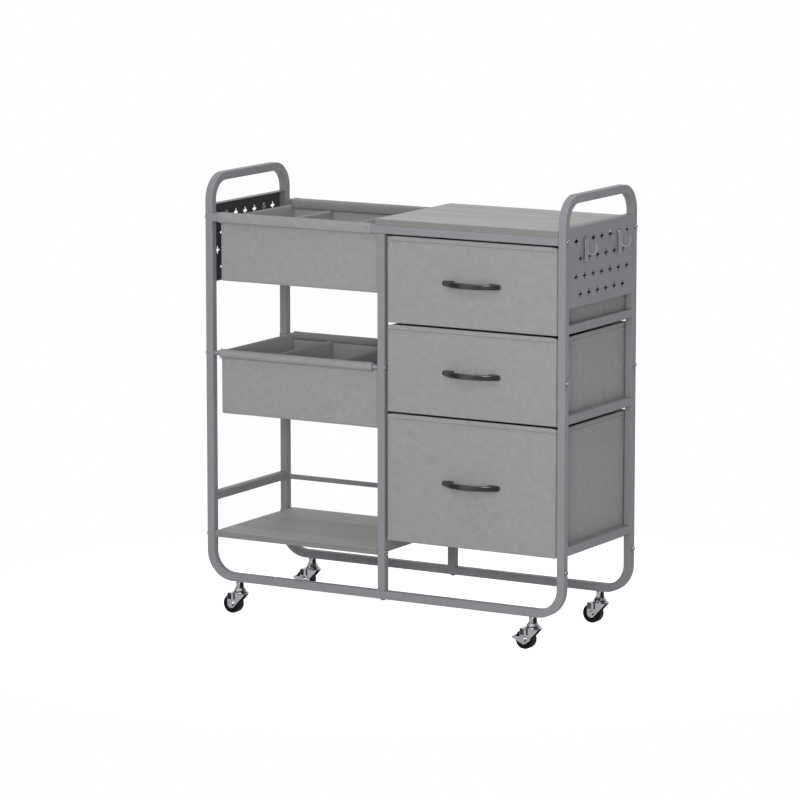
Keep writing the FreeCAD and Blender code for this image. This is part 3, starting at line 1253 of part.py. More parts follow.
def makeLever(end, side):
    # Two plates outside the fork legs, turning on the axle, joined by a foot pedal behind the wheel.
    body = newBody("caster_%s_%s_brake_lever" % (end, side))
    back = "(-%s)" % cell("leverReach")
    low = cell("leverPedalRise")
    high = plus(low, cell("leverPedalHeight"))
    foot, tail, crest = cell("leverFoot"), cell("leverTail"), cell("leverCrest")
    corners = [(back, low), (0, "(-%s)" % foot), (cell("leverToe"), "(-%s)" % foot), (tail, 0),
               (tail, cell("leverNose")), (cell("leverBrow"), crest), ("(-%s)" % cell("leverBack"), crest),
               (back, high)]
    box(body, "Pedal", (back, plus(back, cell("leverPedal"))), ("(-%s)" % leverOuter, leverOuter),
        (low, high))
    for plateSide, sign in ends.items():
        reach = sorted((signed(sign, leverInner), signed(sign, leverOuter)), key=value)
        extrude(body, "Plate_" + plateSide, "XZ_Plane", *reach, lambda sketch: polygon(sketch, corners))
    bore = plus(cell("axleDiameter"), times(2, cell("runningClearance")))
    extrude(body, "Bore", "XZ_Plane", "(-%s)" % leverOuter, leverOuter,
            lambda sketch: circle(sketch, 0, 0, bore), cut=True)
    x, y = casterPlace(end, side)
    place(body, plus(x, axleX), y, axleZ)


for side in sides:
    makeHandleFrame(side)
    makeSideFrame(side)
for end in ends:
    makeBaseTube(end)
    makeTopRail(end)
makeMiddleFrame()
makeConnectors()
makeRod("basket_rod_front", rodMiddle, "front", True)
makeRod("basket_rod_rear", rodMiddle, "rear", True)
makeRod("guard_rod_rear", cell("guardRodHeight"), "rear", False)
makeFrameBolts()
makePegboards()
for side in sides:
    makeHooks(side)
makeTabletop()
makeDeckScrews()
makeShelf()
for number in drawerNumbers:
    makeRunners(number)
    makeDrawerBox(number)
    makeDrawerFrontBoard(number)
    makeDrawerBottomBoard(number)
    makePull(number)
    makePullScrews(number)
for name, form in basketForms.items():
    makeBasket(name, form)
    makeBasketBoard(name, form)
    makeDividers(name, form)
makeStems()
for end, side in casterSpots:
    makeFork(end, side)
    makeWheel(end, side)
    makeAxle(end, side)
for end, side in brakedSpots:
    makeLever(end, side)

doc.recompute()
for item in doc.Objects:
    if "Invalid" in item.State or "Error" in item.State:
        raise RuntimeError("%s is %s" % (item.Label, item.State))
for item in nodes:
    if item.Shape.isNull() or not item.Shape.isValid() or not item.Shape.Solids:
        raise RuntimeError(item.Label + " has no valid solid")

os.makedirs("parts", exist_ok=True)
for item in nodes:
    item.Shape.exportStep(os.path.join("parts", item.Label + ".step"))
print("%d nodes, %d solids" % (len(nodes), sum(len(item.Shape.Solids) for item in nodes)))
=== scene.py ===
import bpy
import math
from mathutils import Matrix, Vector, noise


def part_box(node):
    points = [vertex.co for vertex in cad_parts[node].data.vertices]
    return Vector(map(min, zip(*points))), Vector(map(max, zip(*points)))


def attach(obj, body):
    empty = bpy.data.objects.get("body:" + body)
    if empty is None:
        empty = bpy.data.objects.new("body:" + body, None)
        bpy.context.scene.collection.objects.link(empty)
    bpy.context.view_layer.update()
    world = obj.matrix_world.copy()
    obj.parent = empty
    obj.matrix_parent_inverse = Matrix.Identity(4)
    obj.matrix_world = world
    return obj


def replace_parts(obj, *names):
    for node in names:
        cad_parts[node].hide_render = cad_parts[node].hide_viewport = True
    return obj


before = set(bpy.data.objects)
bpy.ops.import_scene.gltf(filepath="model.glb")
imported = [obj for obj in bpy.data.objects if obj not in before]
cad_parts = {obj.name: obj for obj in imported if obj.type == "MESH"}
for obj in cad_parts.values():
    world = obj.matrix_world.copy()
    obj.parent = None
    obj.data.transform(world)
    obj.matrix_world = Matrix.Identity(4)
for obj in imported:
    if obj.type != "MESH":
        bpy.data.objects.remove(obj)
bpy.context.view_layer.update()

mm = 0.001  # sizes below are in millimetres


def linear(hexColour):
    # sRGB hex to the linear values that sockets take
    parts = [int(hexColour[i:i + 2], 16) / 255 for i in (1, 3, 5)]
    return [p / 12.92 if p <= 0.04045 else ((p + 0.055) / 1.055) ** 2.4 for p in parts] + [1.0]


def addNode(tree, kind, settings={}, links={}):
    # names in lower case are the node's own settings, the others are its sockets
    node = tree.nodes.new("ShaderNode" + kind)
    for name, value in settings.items():
        if isinstance(name, str) and name[0].islower():
            setattr(node, name, value)
        else:
            node.inputs[name].default_value = value
    for name, source in links.items():
        tree.links.new(source, node.inputs[name])
    return node


def newMaterial(name):
    material = bpy.data.materials.new(name)
    material.use_nodes = True
    material.node_tree.nodes.clear()
    return material, material.node_tree


def perMetre(size):
    return 1.0 / (size * mm)


def maths(tree, operation, *values):
    # a sum on numbers and sockets
    node = addNode(tree, "Math", {"operation": operation})
    for index, value in enumerate(values):
        if isinstance(value, (int, float)):
            node.inputs[index].default_value = value
        else:
            tree.links.new(value, node.inputs[index])
    return node.outputs[0]


def blend(tree, share, low, high):
    # a colour between two hex colours or sockets, by a share from 0 to 1
    node = addNode(tree, "Mix", {"data_type": "RGBA"}, {0: share})
    for socket, colour in ((6, low), (7, high)):
        if isinstance(colour, str):
            node.inputs[socket].default_value = linear(colour)
        else:
            tree.links.new(colour, node.inputs[socket])
    return node.outputs[2]


def remap(tree, source, low, high, start=0.0, end=1.0):
    # a value that goes from low to high while the source goes from start to end
    limits = {"From Min": start, "From Max": end, "To Min": low, "To Max": high}
    return addNode(tree, "MapRange", limits, {0: source}).outputs[0]


def pattern(tree, coords, size, detail):
    # soft noise with patches about this many millimetres wide
    settings = {"Scale": perMetre(size), "Detail": detail}
    return addNode(tree, "TexNoise", settings, {"Vector": coords}).outputs[0]


def relief(tree, height, strength, depth):
    # a bump, its depth in millimetres
    settings = {"Strength": strength, "Distance": depth * mm}
    return addNode(tree, "Bump", settings, {"Height": height}).outputs[0]


def mixShaders(tree, share, first, second):
    return addNode(tree, "MixShader", {}, {0: share, 1: first.outputs[0], 2: second.outputs[0]})


def objectCoords(tree):
    return addNode(tree, "TexCoord").outputs["Object"]


def dress(material, settings, links):
    skin = addNode(material.node_tree, "BsdfPrincipled", settings, links)
    addNode(material.node_tree, "OutputMaterial", {}, {"Surface": skin.outputs[0]})
    return material


print("camera and studio")

cameraView = {
    "azimuth": 30.142,  # degrees to the right of the front
    "elevation": 9.288,
    "distance": 8675.6,
    "target": (-43.43, 7.35, 431.3),
    "lens": 199.2,
    "sensor": 36,
    "farthest": 60,  # metres
}


def addCamera():
    turn = math.radians(cameraView["azimuth"])
    rise = math.radians(cameraView["elevation"])
    target = Vector(cameraView["target"]) * mm
    away = Vector((math.sin(turn) * math.cos(rise), -math.cos(turn) * math.cos(rise), math.sin(rise)))
    lens = bpy.data.cameras.new("camera")
    lens.lens = cameraView["lens"]
    lens.sensor_width = cameraView["sensor"]
    lens.clip_end = cameraView["farthest"]
    camera = bpy.data.objects.new("camera", lens)
    bpy.context.scene.collection.objects.link(camera)
    camera.location = target + away * cameraView["distance"] * mm
    camera.rotation_euler = (-away).to_track_quat("-Z", "Y").to_euler()
    bpy.context.scene.camera = camera


addCamera()
bpy.context.scene.view_settings.view_transform = "Standard"

studio = {
    "lamps": {  # name: (place in metres, size in metres, watts)
        "key": ((0.2, -3.8, 3.6), 2.2, 40),
        "low": ((1.8, -3.65, 1.15), 1.2, 66),
        "top": ((0.0, 0.2, 3.4), 2.6, 25),
    },
    "lampsLookAt": (0, 0, 0.42),
    "ambient": "#aaaaac",
    # what shiny metal mirrors, by degrees from the front: left is negative, right positive
    "walls": [(-105, 1.0), (-75, 0.03), (-52, 0.03), (-38, 0.8), (-18, 0.8), (0, 0.30), (34, 0.18),
              (46, 0.03), (95, 0.03), (125, 0.4), (175, 0.9)],
    "ceiling": {"starts": 0.35, "full": 0.75, "share": 0.8},  # by the upward part of the direction
}

studioFloor = {
    "paint": ("#ececec", "#f4f4f4"),
    "grain": 40.0,  # patches per metre
    "lift": 0.72,  # how much the floor adds to itself for the camera, so that lit floor is white
    "fade": (0.55, 1.0),  # metres from the middle over which the floor turns into the white behind
    "reach": 14.0,
}


def addLamps():
    lookAt = Vector(studio["lampsLookAt"])
    for name, (place, size, watts) in studio["lamps"].items():
        lamp = bpy.data.lights.new(name, "AREA")
        lamp.shape = "SQUARE"
        lamp.size = size
        lamp.energy = watts
        lampObject = bpy.data.objects.new(name, lamp)
        bpy.context.scene.collection.objects.link(lampObject)
        lampObject.location = place
        lampObject.rotation_euler = (lookAt - Vector(place)).to_track_quat("-Z", "Y").to_euler()


def addWorld():
    # plain light on the object, white behind it, and a room with dark walls for shiny metal to mirror
    world = bpy.data.worlds.new("studio")
    bpy.context.scene.world = world
    world.use_nodes = True
    tree = world.node_tree
    tree.nodes.clear()
    direction = addNode(tree, "SeparateXYZ", {}, {0: addNode(tree, "TexCoord").outputs["Generated"]})
    forward = maths(tree, "MULTIPLY", direction.outputs["Y"], -1.0)
    compass = maths(tree, "ARCTAN2", direction.outputs["X"], forward)
    walls = addNode(tree, "ValToRGB", {}, {0: remap(tree, compass, 0.0, 1.0, -math.pi, math.pi)})
    stops = walls.color_ramp.elements
    for index, (angle, level) in enumerate(studio["walls"]):
        stop = stops[index] if index < 2 else stops.new(1.0)
        stop.position = (angle + 180) / 360
        stop.color = (level, level, level, 1)
    ceiling = studio["ceiling"]
    above = remap(tree, direction.outputs["Z"], 0.0, ceiling["share"], ceiling["starts"], ceiling["full"])
    path = addNode(tree, "LightPath").outputs
    seen = maths(tree, "MAXIMUM", path["Is Camera Ray"], path["Is Transmission Ray"])
    plain = addNode(tree, "Background", {"Color": linear(studio["ambient"]), "Strength": 1.0})
    mirrored = addNode(tree, "Background", {"Strength": 1.0},
                       {"Color": blend(tree, above, walls.outputs[0], "#ffffff")})
    white = addNode(tree, "Background", {"Color": linear("#ffffff"), "Strength": 1.0})
    final = mixShaders(tree, seen, mixShaders(tree, path["Is Glossy Ray"], plain, mirrored), white)
    addNode(tree, "OutputWorld", {}, {"Surface": final.outputs[0]})


def addFloor():
    # a painted studio floor: matt white, it keeps the soft shadow and fades into the white behind
    material, tree = newMaterial("mattWhitePaintedFloor")
    isCamera = addNode(tree, "LightPath").outputs["Is Camera Ray"]
    grain = addNode(tree, "TexNoise", {"Scale": studioFloor["grain"], "Detail": 4.0}).outputs[0]
    colour = blend(tree, grain, *studioFloor["paint"])
    paint = addNode(tree, "BsdfDiffuse", {"Roughness": 1.0}, {"Color": colour})
    lift = addNode(tree, "Emission", {"Color": linear("#ffffff"), "Strength": studioFloor["lift"]})
    nothing = addNode(tree, "Emission", {"Strength": 0.0})
    added = mixShaders(tree, isCamera, nothing, lift)
    both = addNode(tree, "AddShader", {}, {0: paint.outputs[0], 1: added.outputs[0]})
    away = addNode(tree, "VectorMath", {"operation": "LENGTH"}, {0: objectCoords(tree)}).outputs["Value"]
    share = maths(tree, "MULTIPLY", remap(tree, away, 0.0, 1.0, *studioFloor["fade"]), isCamera)
    white = addNode(tree, "Emission", {"Color": linear("#ffffff"), "Strength": 1.0})
    final = mixShaders(tree, share, both, white)
    addNode(tree, "OutputMaterial", {}, {"Surface": final.outputs[0]})
    mesh = bpy.data.meshes.new("floor")
    r = studioFloor["reach"]
    mesh.from_pydata([(-r, -r, 0), (r, -r, 0), (r, r, 0), (-r, r, 0)], [], [(0, 1, 2, 3)])
    mesh.materials.append(material)
    floor = bpy.data.objects.new("floor", mesh)
    bpy.context.scene.collection.objects.link(floor)
    floor.visible_glossy = False


addLamps()
addWorld()
addFloor()

print("materials")

steelPaint = {
    "colour": "#8e8f92",
    "patch": "#898a8d",
    "patchSize": 90,
    "speck": "#a2a2a4",
    "speckSize": 0.7,
    "speckShare": 0.10,
    "speckRange": (0.55, 0.8),  # the part of the noise that makes the specks
    "peel": 1.6,
    "roughness": 0.45,
    # painted shade for the end panels' faces that look towards the middle of the cart
    "innerFaceShade": "#4a4a4e",
    # painted light: the hooks take the frame's powder coat drawn lighter, for the highlights on their bends
    "hook": {"colour": "#99999b", "patch": "#919193"},
}


def facesMiddle(tree, coords):
    # 1 on the faces of the end panels that look towards the middle of the cart, the faces that take the painted
    # shade
    normal = addNode(tree, "SeparateXYZ", {}, {0: addNode(tree, "NewGeometry").outputs["Normal"]})
    place = addNode(tree, "SeparateXYZ", {}, {0: coords})
    facing = maths(tree, "MULTIPLY", normal.outputs["X"], place.outputs["X"])
    return maths(tree, "LESS_THAN", facing, -0.2)


def powderCoatedSteel(name, colour=steelPaint["colour"], patch=steelPaint["patch"], paintedShadeInside=False):
    # powder-coated steel tube and sheet: sprayed powder baked on, a satin grey skin with a faint orange peel
    material, tree = newMaterial(name)
    coords = objectCoords(tree)
    patches = pattern(tree, coords, steelPaint["patchSize"], 2.0)
    peel = pattern(tree, coords, steelPaint["peel"], 1.0)
    dots = pattern(tree, coords, steelPaint["speckSize"], 2.0)
    specks = remap(tree, dots, 0.0, steelPaint["speckShare"], *steelPaint["speckRange"])
    paint = blend(tree, specks, blend(tree, patches, patch, colour), steelPaint["speck"])
    if paintedShadeInside:  # painted shade: the face towards the middle of the cart is drawn darker, standing in for the shadow on it
        paint = blend(tree, facesMiddle(tree, coords), paint, steelPaint["innerFaceShade"])
    gloss = remap(tree, patches, steelPaint["roughness"] - 0.05, steelPaint["roughness"] + 0.06)
    return dress(material, {"IOR": 1.5, "Specular IOR Level": 0.2},
                 {"Base Color": paint, "Roughness": gloss, "Normal": relief(tree, peel, 0.25, 0.06)})


laminate = {
    "light": "#b4b3b1",
    "dark": "#979694",
    "pore": "#7b7a78",
    "edge": "#807e7c",
    "streak": (200, 2.8),  # length and width
    "band": (420, 26),
    "bandShare": 0.42,
    "edgeShare": 0.85,
    "roughness": 0.55,
}


def woodGrainLaminate():
    # chipboard with a printed oak-grain melamine skin: grey, dull, with fine streaks along the board
    material, tree = newMaterial("woodGrainLaminate")
    coords = objectCoords(tree)

    def streaks(length, width, settings):
        scale = (perMetre(length), perMetre(width), perMetre(width))
        mapped = addNode(tree, "Mapping", {"Scale": scale}, {"Vector": coords})
        return addNode(tree, "TexNoise", {"Scale": 1.0, **settings}, {"Vector": mapped.outputs[0]}).outputs[0]

    fine = streaks(*laminate["streak"], {"Detail": 5.0, "Roughness": 0.6})
    bands = streaks(*laminate["band"], {"Detail": 3.0, "Distortion": 0.6})
    settings = {"data_type": "FLOAT", 0: laminate["bandShare"]}
    both = addNode(tree, "Mix", settings, {2: fine, 3: bands}).outputs[0]
    tone = blend(tree, remap(tree, both, 0.0, 1.0, 0.36, 0.64), laminate["dark"], laminate["light"])
    marked = blend(tree, remap(tree, fine, 0.35, 0.0, 0.3, 0.42), tone, laminate["pore"])
    facing = addNode(tree, "SeparateXYZ", {}, {0: addNode(tree, "NewGeometry").outputs["Normal"]})
    upright = maths(tree, "COMPARE", facing.outputs["Z"], 0.0, 0.5)
    banded = blend(tree, maths(tree, "MULTIPLY", upright, laminate["edgeShare"]), marked, laminate["edge"])
    gloss = remap(tree, fine, laminate["roughness"] - 0.06, laminate["roughness"] + 0.08)
    return dress(material, {"IOR": 1.5, "Specular IOR Level": 0.3},
                 {"Base Color": banded, "Roughness": gloss, "Normal": relief(tree, fine, 0.3, 0.08)})


linen = {"light": "#9e9e9e", "dark": "#939393", "thread": 1.0, "slub": 18, "mottle": 16, "roughness": 0.92}


def wovenLinenCloth():
    # linen-look polyester canvas: plain weave with thick and thin threads, dull, mottled, a little fuzzy
    # its threads are 0.5 mm; they are drawn twice as wide so that they show
    material, tree = newMaterial("wovenLinenCloth")
    coords = addNode(tree, "UVMap", {"uv_map": "cloth"}).outputs[0]  # metres along and up the cloth
    thread, slub = perMetre(linen["thread"]), perMetre(linen["slub"])

    def flatNoise(vector, scale):
        settings = {"Scale": scale, "Detail": 3.0, "noise_dimensions": "2D"}
        return addNode(tree, "TexNoise", settings, {"Vector": vector}).outputs[0]

    def threads(scale, shift):
        mapped = addNode(tree, "Mapping", {"Scale": scale, "Location": shift}, {"Vector": coords})
        return flatNoise(mapped.outputs[0], 1.0)

    def wave(direction):
        settings = {"Scale": thread / math.tau * 2, "bands_direction": direction,
                    "Distortion": 0.6, "Detail": 1.0}
        return addNode(tree, "TexWave", settings, {"Vector": coords}).outputs["Fac"]

    weft = threads((slub, thread, 1.0), (0.0, 0.0, 0.0))
    warp = threads((thread, slub, 1.0), (3.7, 9.1, 0.0))
    slubs = maths(tree, "ADD", weft, warp)
    mixed = maths(tree, "MULTIPLY_ADD", flatNoise(coords, perMetre(linen["mottle"])), 0.7, slubs)
    tone = blend(tree, remap(tree, mixed, 0.0, 1.0, 1.0, 1.7), linen["dark"], linen["light"])
    weave = maths(tree, "MULTIPLY", wave("X"), wave("Y"))
    height = maths(tree, "MULTIPLY_ADD", slubs, 0.45, weave)
    return dress(material, {"IOR": 1.45, "Roughness": linen["roughness"], "Specular IOR Level": 0.25,
                            "Sheen Weight": 0.12, "Sheen Roughness": 0.5},
                 {"Base Color": tone, "Normal": relief(tree, height, 0.55, 0.3)})


felt = {"fibre": 2.4, "patch": 7, "roughness": 0.88}


def nonWovenLining(name, low, high):
    # pressed polypropylene felt on the boards and inside faces: flat grey with short crossing fibres
    material, tree = newMaterial(name)
    coords = objectCoords(tree)
    settings = {"feature": "DISTANCE_TO_EDGE", "Scale": perMetre(felt["fibre"])}
    fibres = addNode(tree, "TexVoronoi", settings, {"Vector": coords}).outputs[0]
    tone = blend(tree, pattern(tree, coords, felt["patch"], 4.0), low, high)
    return dress(material, {"IOR": 1.49, "Roughness": felt["roughness"], "Specular IOR Level": 0.25},
                 {"Base Color": tone, "Normal": relief(tree, fibres, 0.3, 0.1)})


# the dark tones hold painted shade of the sunk stitches as well as the thread's own colour
thread = {"dark": "#4c4c4d", "light": "#68686a", "twist": 0.8, "roughness": 0.6}


def polyesterThread():
    # spun polyester sewing thread: darker than the cloth, partly its own tone and partly painted shade where the
    # stitches sink into the cloth; twisted, with a small shine
    material, tree = newMaterial("polyesterThread")
    twist = pattern(tree, objectCoords(tree), thread["twist"], 2.0)
    tone = blend(tree, twist, thread["dark"], thread["light"])
    return dress(material, {"IOR": 1.5, "Roughness": thread["roughness"], "Sheen Weight": 0.15},
                 {"Base Color": tone, "Normal": relief(tree, twist, 0.4, 0.1)})


zinc = {"dark": "#9c9fa3", "light": "#c2c4c7", "cloud": 9, "mark": 0.8, "roughness": (0.12, 0.2)}


def zincPlatedSteel():
    # bright zinc plate over pressed steel: silvery, mirror-like with fine draw marks and a faint cloud
    material, tree = newMaterial("zincPlatedSteel")
    coords = objectCoords(tree)
    cloud = pattern(tree, coords, zinc["cloud"], 3.0)
    marks = pattern(tree, coords, zinc["mark"], 2.0)
    return dress(material, {"Metallic": 1.0},
                 {"Base Color": blend(tree, cloud, zinc["dark"], zinc["light"]),
                  "Roughness": remap(tree, cloud, *zinc["roughness"]),
                  "Normal": relief(tree, marks, 0.1, 0.04)})


plastic = {"dark": "#2b2b2d", "light": "#333335", "flow": 30, "roughness": (0.12, 0.2)}


def glossyMouldedPlastic():
    # polished ABS, moulded: almost black grey, deep gloss with the lamps mirrored in it
    material, tree = newMaterial("glossyMouldedPlastic")
    flow = pattern(tree, objectCoords(tree), plastic["flow"], 2.0)
    return dress(material, {"IOR": 1.54, "Coat Weight": 0.4, "Coat Roughness": 0.06},
                 {"Base Color": blend(tree, flow, plastic["dark"], plastic["light"]),
                  "Roughness": remap(tree, flow, *plastic["roughness"]),
                  "Normal": relief(tree, flow, 0.05, 0.2)})


def blackNylon(name, low, high, roughness, grit):
    # moulded nylon and rubber: black, with a fine matt texture from the mould
    material, tree = newMaterial(name)
    coords = objectCoords(tree)
    texture = pattern(tree, coords, grit, 2.0)
    worn = pattern(tree, coords, 12, 3.0)
    gloss = remap(tree, worn, roughness - 0.06, roughness + 0.08)
    return dress(material, {"IOR": 1.52, "Specular IOR Level": 0.15},
                 {"Base Color": blend(tree, worn, low, high), "Roughness": gloss,
                  "Normal": relief(tree, texture, 0.3, 0.1)})


finishes = {
    "steel": powderCoatedSteel("powderCoatedSteel"),
    # the end panels' sheet, with painted shade on the faces towards the middle
    "panel": powderCoatedSteel("powderCoatedSheetShadedInside", paintedShadeInside=True),
    # the hooks' powder coat drawn lighter, as painted light
    "hook": powderCoatedSteel("powderCoatedHooksPaintedLight", **steelPaint["hook"]),
    "board": woodGrainLaminate(),
    "cloth": wovenLinenCloth(),
    "lining": nonWovenLining("nonWovenLining", "#848485", "#939394"),
    # painted light: the baskets' lining is drawn lighter than the drawers' lining, standing in for light reaching
    # inside the baskets
    "basketLiningPaintedLight": nonWovenLining("nonWovenBasketLiningPaintedLight", "#a9a9aa", "#b6b6b7"),
    "thread": polyesterThread(),
    "zinc": zincPlatedSteel(),
    "pull": glossyMouldedPlastic(),
    "wheel": blackNylon("mouldedRubberTyre", "#0f0f10", "#161618", 0.55, 0.9),
    "plug": blackNylon("mouldedNylonPlug", "#242424", "#2e2e2e", 0.6, 0.7),
}

print("finishes for the metal, board and plastic pieces")

finishOf = {
    "steel": ["handle_frame_left", "handle_frame_right", "side_frame_left", "side_frame_right",
              "base_tube_front", "base_tube_rear", "middle_frame", "top_rail_front", "top_rail_rear",
              "basket_rod_front", "basket_rod_rear", "guard_rod_rear"],
    "hook": ["hooks_left", "hooks_right"],
    "panel": ["pegboard_left", "pegboard_right"],
    "board": ["tabletop", "shelf_board"],
    "plug": ["tube_connectors"],
    "zinc": ["frame_bolts", "tabletop_screws", "caster_stems", "caster_front_right_brake_lever",
             "caster_rear_left_brake_lever"],
    "lining": ["basket_upper_bottom_board", "basket_lower_bottom_board"],
    "pull": [],
    "wheel": [],
}
for number in (1, 2, 3):
    drawer = f"drawer_{number}"
    finishOf["steel"].append(f"{drawer}_runners")
    finishOf["zinc"].append(f"{drawer}_pull_screws")
    finishOf["pull"].append(f"{drawer}_pull")
    finishOf["lining"] += [f"{drawer}_front_board", f"{drawer}_bottom_board"]
for corner in ("front_left", "front_right", "rear_left", "rear_right"):
    finishOf["zinc"] += [f"caster_{corner}_fork", f"caster_{corner}_axle"]
    finishOf["wheel"].append(f"caster_{corner}_wheel")
for finish, names in finishOf.items():
    for name in names:
        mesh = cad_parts[name].data
        mesh.materials.clear()
        mesh.materials.append(finishes[finish])

print("sewing")


def spread(start, end, step, fine=()):
    # values from start to end about a step apart, with extra ones given as distances from either end
    count = max(1, round(abs(end - start) / step))
    values = [start + (end - start) * i / count for i in range(count + 1)]
    way = 1 if end > start else -1
    if fine:
        clear = max(fine) + 0.4 * step
        values = [v for v in values if abs(v - start) > clear and abs(end - v) > clear]
        values += [start, end] + [start + way * f for f in fine] + [end - way * f for f in fine]
    return sorted(set(round(v, 4) for v in values), reverse=way < 0)


def ease(value):
    value = min(max(value, 0.0), 1.0)
    return value * value * (3 - 2 * value)


def falloff(distance, width):
    # 1 on a line, softly down to 0 on both sides of it
    return math.exp(-(distance / width) ** 2)


def held(share, power):
    # 0 at both ends of a length of cloth, 1 in its middle
    return math.sin(math.pi * min(max(share, 0.0), 1.0)) ** power


def edgeArc(radius, count):
    # distances from an edge that draw its rounding well
    return [radius * (1 - math.cos(math.pi / 2 * i / count)) for i in range(count + 1)]


def bulge(near, radius):
    # half the thickness of a board with a round edge, this far from the edge
    return radius * math.sqrt(max(0.0, 1 - (1 - max(near, 0.0) / radius) ** 2))


def foldedEdge(wall):
    # the fold along the top of a wall, as (inset, height)
    turns = [math.pi * i / 6 for i in range(1, 6)]
    return [(wall * (1 - math.cos(turn)) / 2 - 0.2, math.sin(turn)) for turn in turns]


def apart(start, end):
    return (Vector(end) - Vector(start)).length


def boxOf(node):
    # the low and the high corner of a CAD piece
    return [[c / mm for c in corner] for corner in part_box(node)]


def addPiece(name, points, faces, clothCoords, body, materials, faceMaterial=None):
    # clothCoords has one (along, up) for each corner of each face
    mesh = bpy.data.meshes.new(name)
    mesh.from_pydata([tuple(c * mm for c in p) for p in points], [], faces)
    layer = mesh.uv_layers.new(name="cloth")
    flat = [c * mm for face in clothCoords for corner in face for c in corner]
    layer.data.foreach_set("uv", flat)
    for finish in materials:
        mesh.materials.append(finishes[finish])
    if faceMaterial:
        mesh.polygons.foreach_set("material_index", faceMaterial)
    mesh.polygons.foreach_set("use_smooth", [True] * len(faces))
    mesh.validate()
    mesh.update()
    piece = bpy.data.objects.new(name, mesh)
    bpy.context.scene.collection.objects.link(piece)
    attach(piece, body)
    return piece


def ringSkin(name, rings, body, materials, wrap=False, liningFrom=None, flip=False):
    # a closed skin over rings of points, each ring closed; wrap joins the last ring to the first
    # and flip turns the faces over; from ring liningFrom on they take the second material
    count = len(rings[0])
    points = [p for ring in rings for p in ring]
    faces, coords, index = [], [], []

    def addFace(face, corners, lined):
        faces.append(face[::-1] if flip else face)
        coords.append(corners[::-1] if flip else corners)
        index.append(1 if lined else 0)

    alongs, ups = [0.0], [0.0]
    middle = rings[len(rings) // 3]
    for i in range(count):
        alongs.append(alongs[-1] + apart(middle[i], middle[(i + 1) % count]))
    sampled = (0, count // 3, count // 2, 3 * count // 4)
    for a, b in zip(rings, rings[1:] + ([rings[0]] if wrap else [])):
        ups.append(ups[-1] + max(apart(a[i], b[i]) for i in sampled))
    for r in range(len(rings) - (0 if wrap else 1)):
        here, there = r * count, (r + 1) % len(rings) * count
        for i in range(count):
            j = (i + 1) % count
            corners = [(alongs[i], ups[r]), (alongs[i + 1], ups[r]),
                       (alongs[i + 1], ups[r + 1]), (alongs[i], ups[r + 1])]
            addFace([here + i, here + j, there + j, there + i], corners,
                    liningFrom is not None and r >= liningFrom)
    if not wrap:
        first = list(range(count))[::-1]
        last = [(len(rings) - 1) * count + i for i in range(count)]
        for face, lined in ((first, False), (last, liningFrom is not None)):
            addFace(face, [points[v][:2] for v in face], lined)
    return addPiece(name, points, faces, coords, body, materials,
                    index if liningFrom is not None else None)


seam = {
    "stitch": 3.2,
    "gap": 1.1,
    "radius": 0.35,
    "sides": 6,
    # one stitch from end to end: (place, share of the radius, how far it stands out)
    "sections": [(-1.0, 0.35, -0.06), (-0.75, 1.0, 0.21), (0.75, 1.0, 0.21), (1.0, 0.35, -0.06)],
}


def stitchRows(name, rows, body):
    # short stitches along straight rows; each row is (start, end, the way out of the cloth)
    sides, sections = seam["sides"], seam["sections"]
    points, faces = [], []
    for start, end, out in rows:
        start, end, out = Vector(start), Vector(end), Vector(out)
        run = end - start
        way = run.normalized()
        side = way.cross(out).normalized()
        count = max(1, int(run.length // (seam["stitch"] + seam["gap"])))
        pitch = run.length / count
        half = (pitch - seam["gap"]) / 2
        for n in range(count):
            middle = start + way * pitch * (n + 0.5)
            base = len(points)
            for reach, share, lift in sections:
                centre = middle + way * half * reach
                for s in range(sides):
                    turn = math.tau * s / sides
                    spoke = side * math.cos(turn) + out * math.sin(turn)
                    points.append(tuple(centre + spoke * seam["radius"] * share + out * lift))
            for r in range(len(sections) - 1):
                here, there = base + r * sides, base + (r + 1) * sides
                for s in range(sides):
                    t = (s + 1) % sides
                    faces.append([here + s, here + t, there + t, there + s])
            faces.append([base + s for s in range(sides)][::-1])
            faces.append([base + (len(sections) - 1) * sides + s for s in range(sides)])
    coords = [[(points[v][0], points[v][2]) for v in face] for face in faces]
    return addPiece(name, points, faces, coords, body, ["thread"])


def roundedLoop(low, high, radius, step, fine=()):
    # round a rectangle, anticlockwise from the front left:
    # (x, y, out x, out y, along the side from 0 to 1, side)
    loop = []
    corners = [(low[0], low[1]), (high[0], low[1]), (high[0], high[1]), (low[0], high[1])]
    for number, out in enumerate([(0, -1), (1, 0), (0, 1), (-1, 0)]):
        start, end = corners[number], corners[(number + 1) % 4]
        length = abs(end[0] - start[0]) + abs(end[1] - start[1])
        way = ((end[0] - start[0]) / length, (end[1] - start[1]) / length)
        for d in spread(radius, length - radius, step, fine):
            loop.append((start[0] + way[0] * d, start[1] + way[1] * d, *out, d / length, number))
        centre = [end[a] - way[a] * radius - out[a] * radius for a in (0, 1)]
        for quarter in (1, 2, 3):
            turn = math.pi / 2 * quarter / 4
            spoke = [out[a] * math.cos(turn) + way[a] * math.sin(turn) for a in (0, 1)]
            loop.append((centre[0] + spoke[0] * radius, centre[1] + spoke[1] * radius, *spoke, 1.0, number))
    return loop


folds = {
    "wave": (95.0, 60.0),  # width and height
    "ripple": (38.0, 30.0),
    "rippleShare": 0.5,
    "belly": 0.35,
    "holdAlong": 0.5,  # the lower, the nearer to its edges the cloth is slack
    "holdUp": 0.6,
}


def slack(x, y, z, along, height, amount, seed):
    # soft waves and a slight belly in a hanging wall of cloth, none at its corners, foot and top
    wide, tall = folds["wave"]
    wave = noise.noise(Vector((x / wide + seed, y / wide, z / tall)))
    wide, tall = folds["ripple"]
    ripple = noise.noise(Vector((x / wide, y / wide + seed, z / tall)))
    hold = held(along, folds["holdAlong"]) * held(height, folds["holdUp"])
    return hold * amount * (folds["belly"] + (wave + folds["rippleShare"] * ripple))


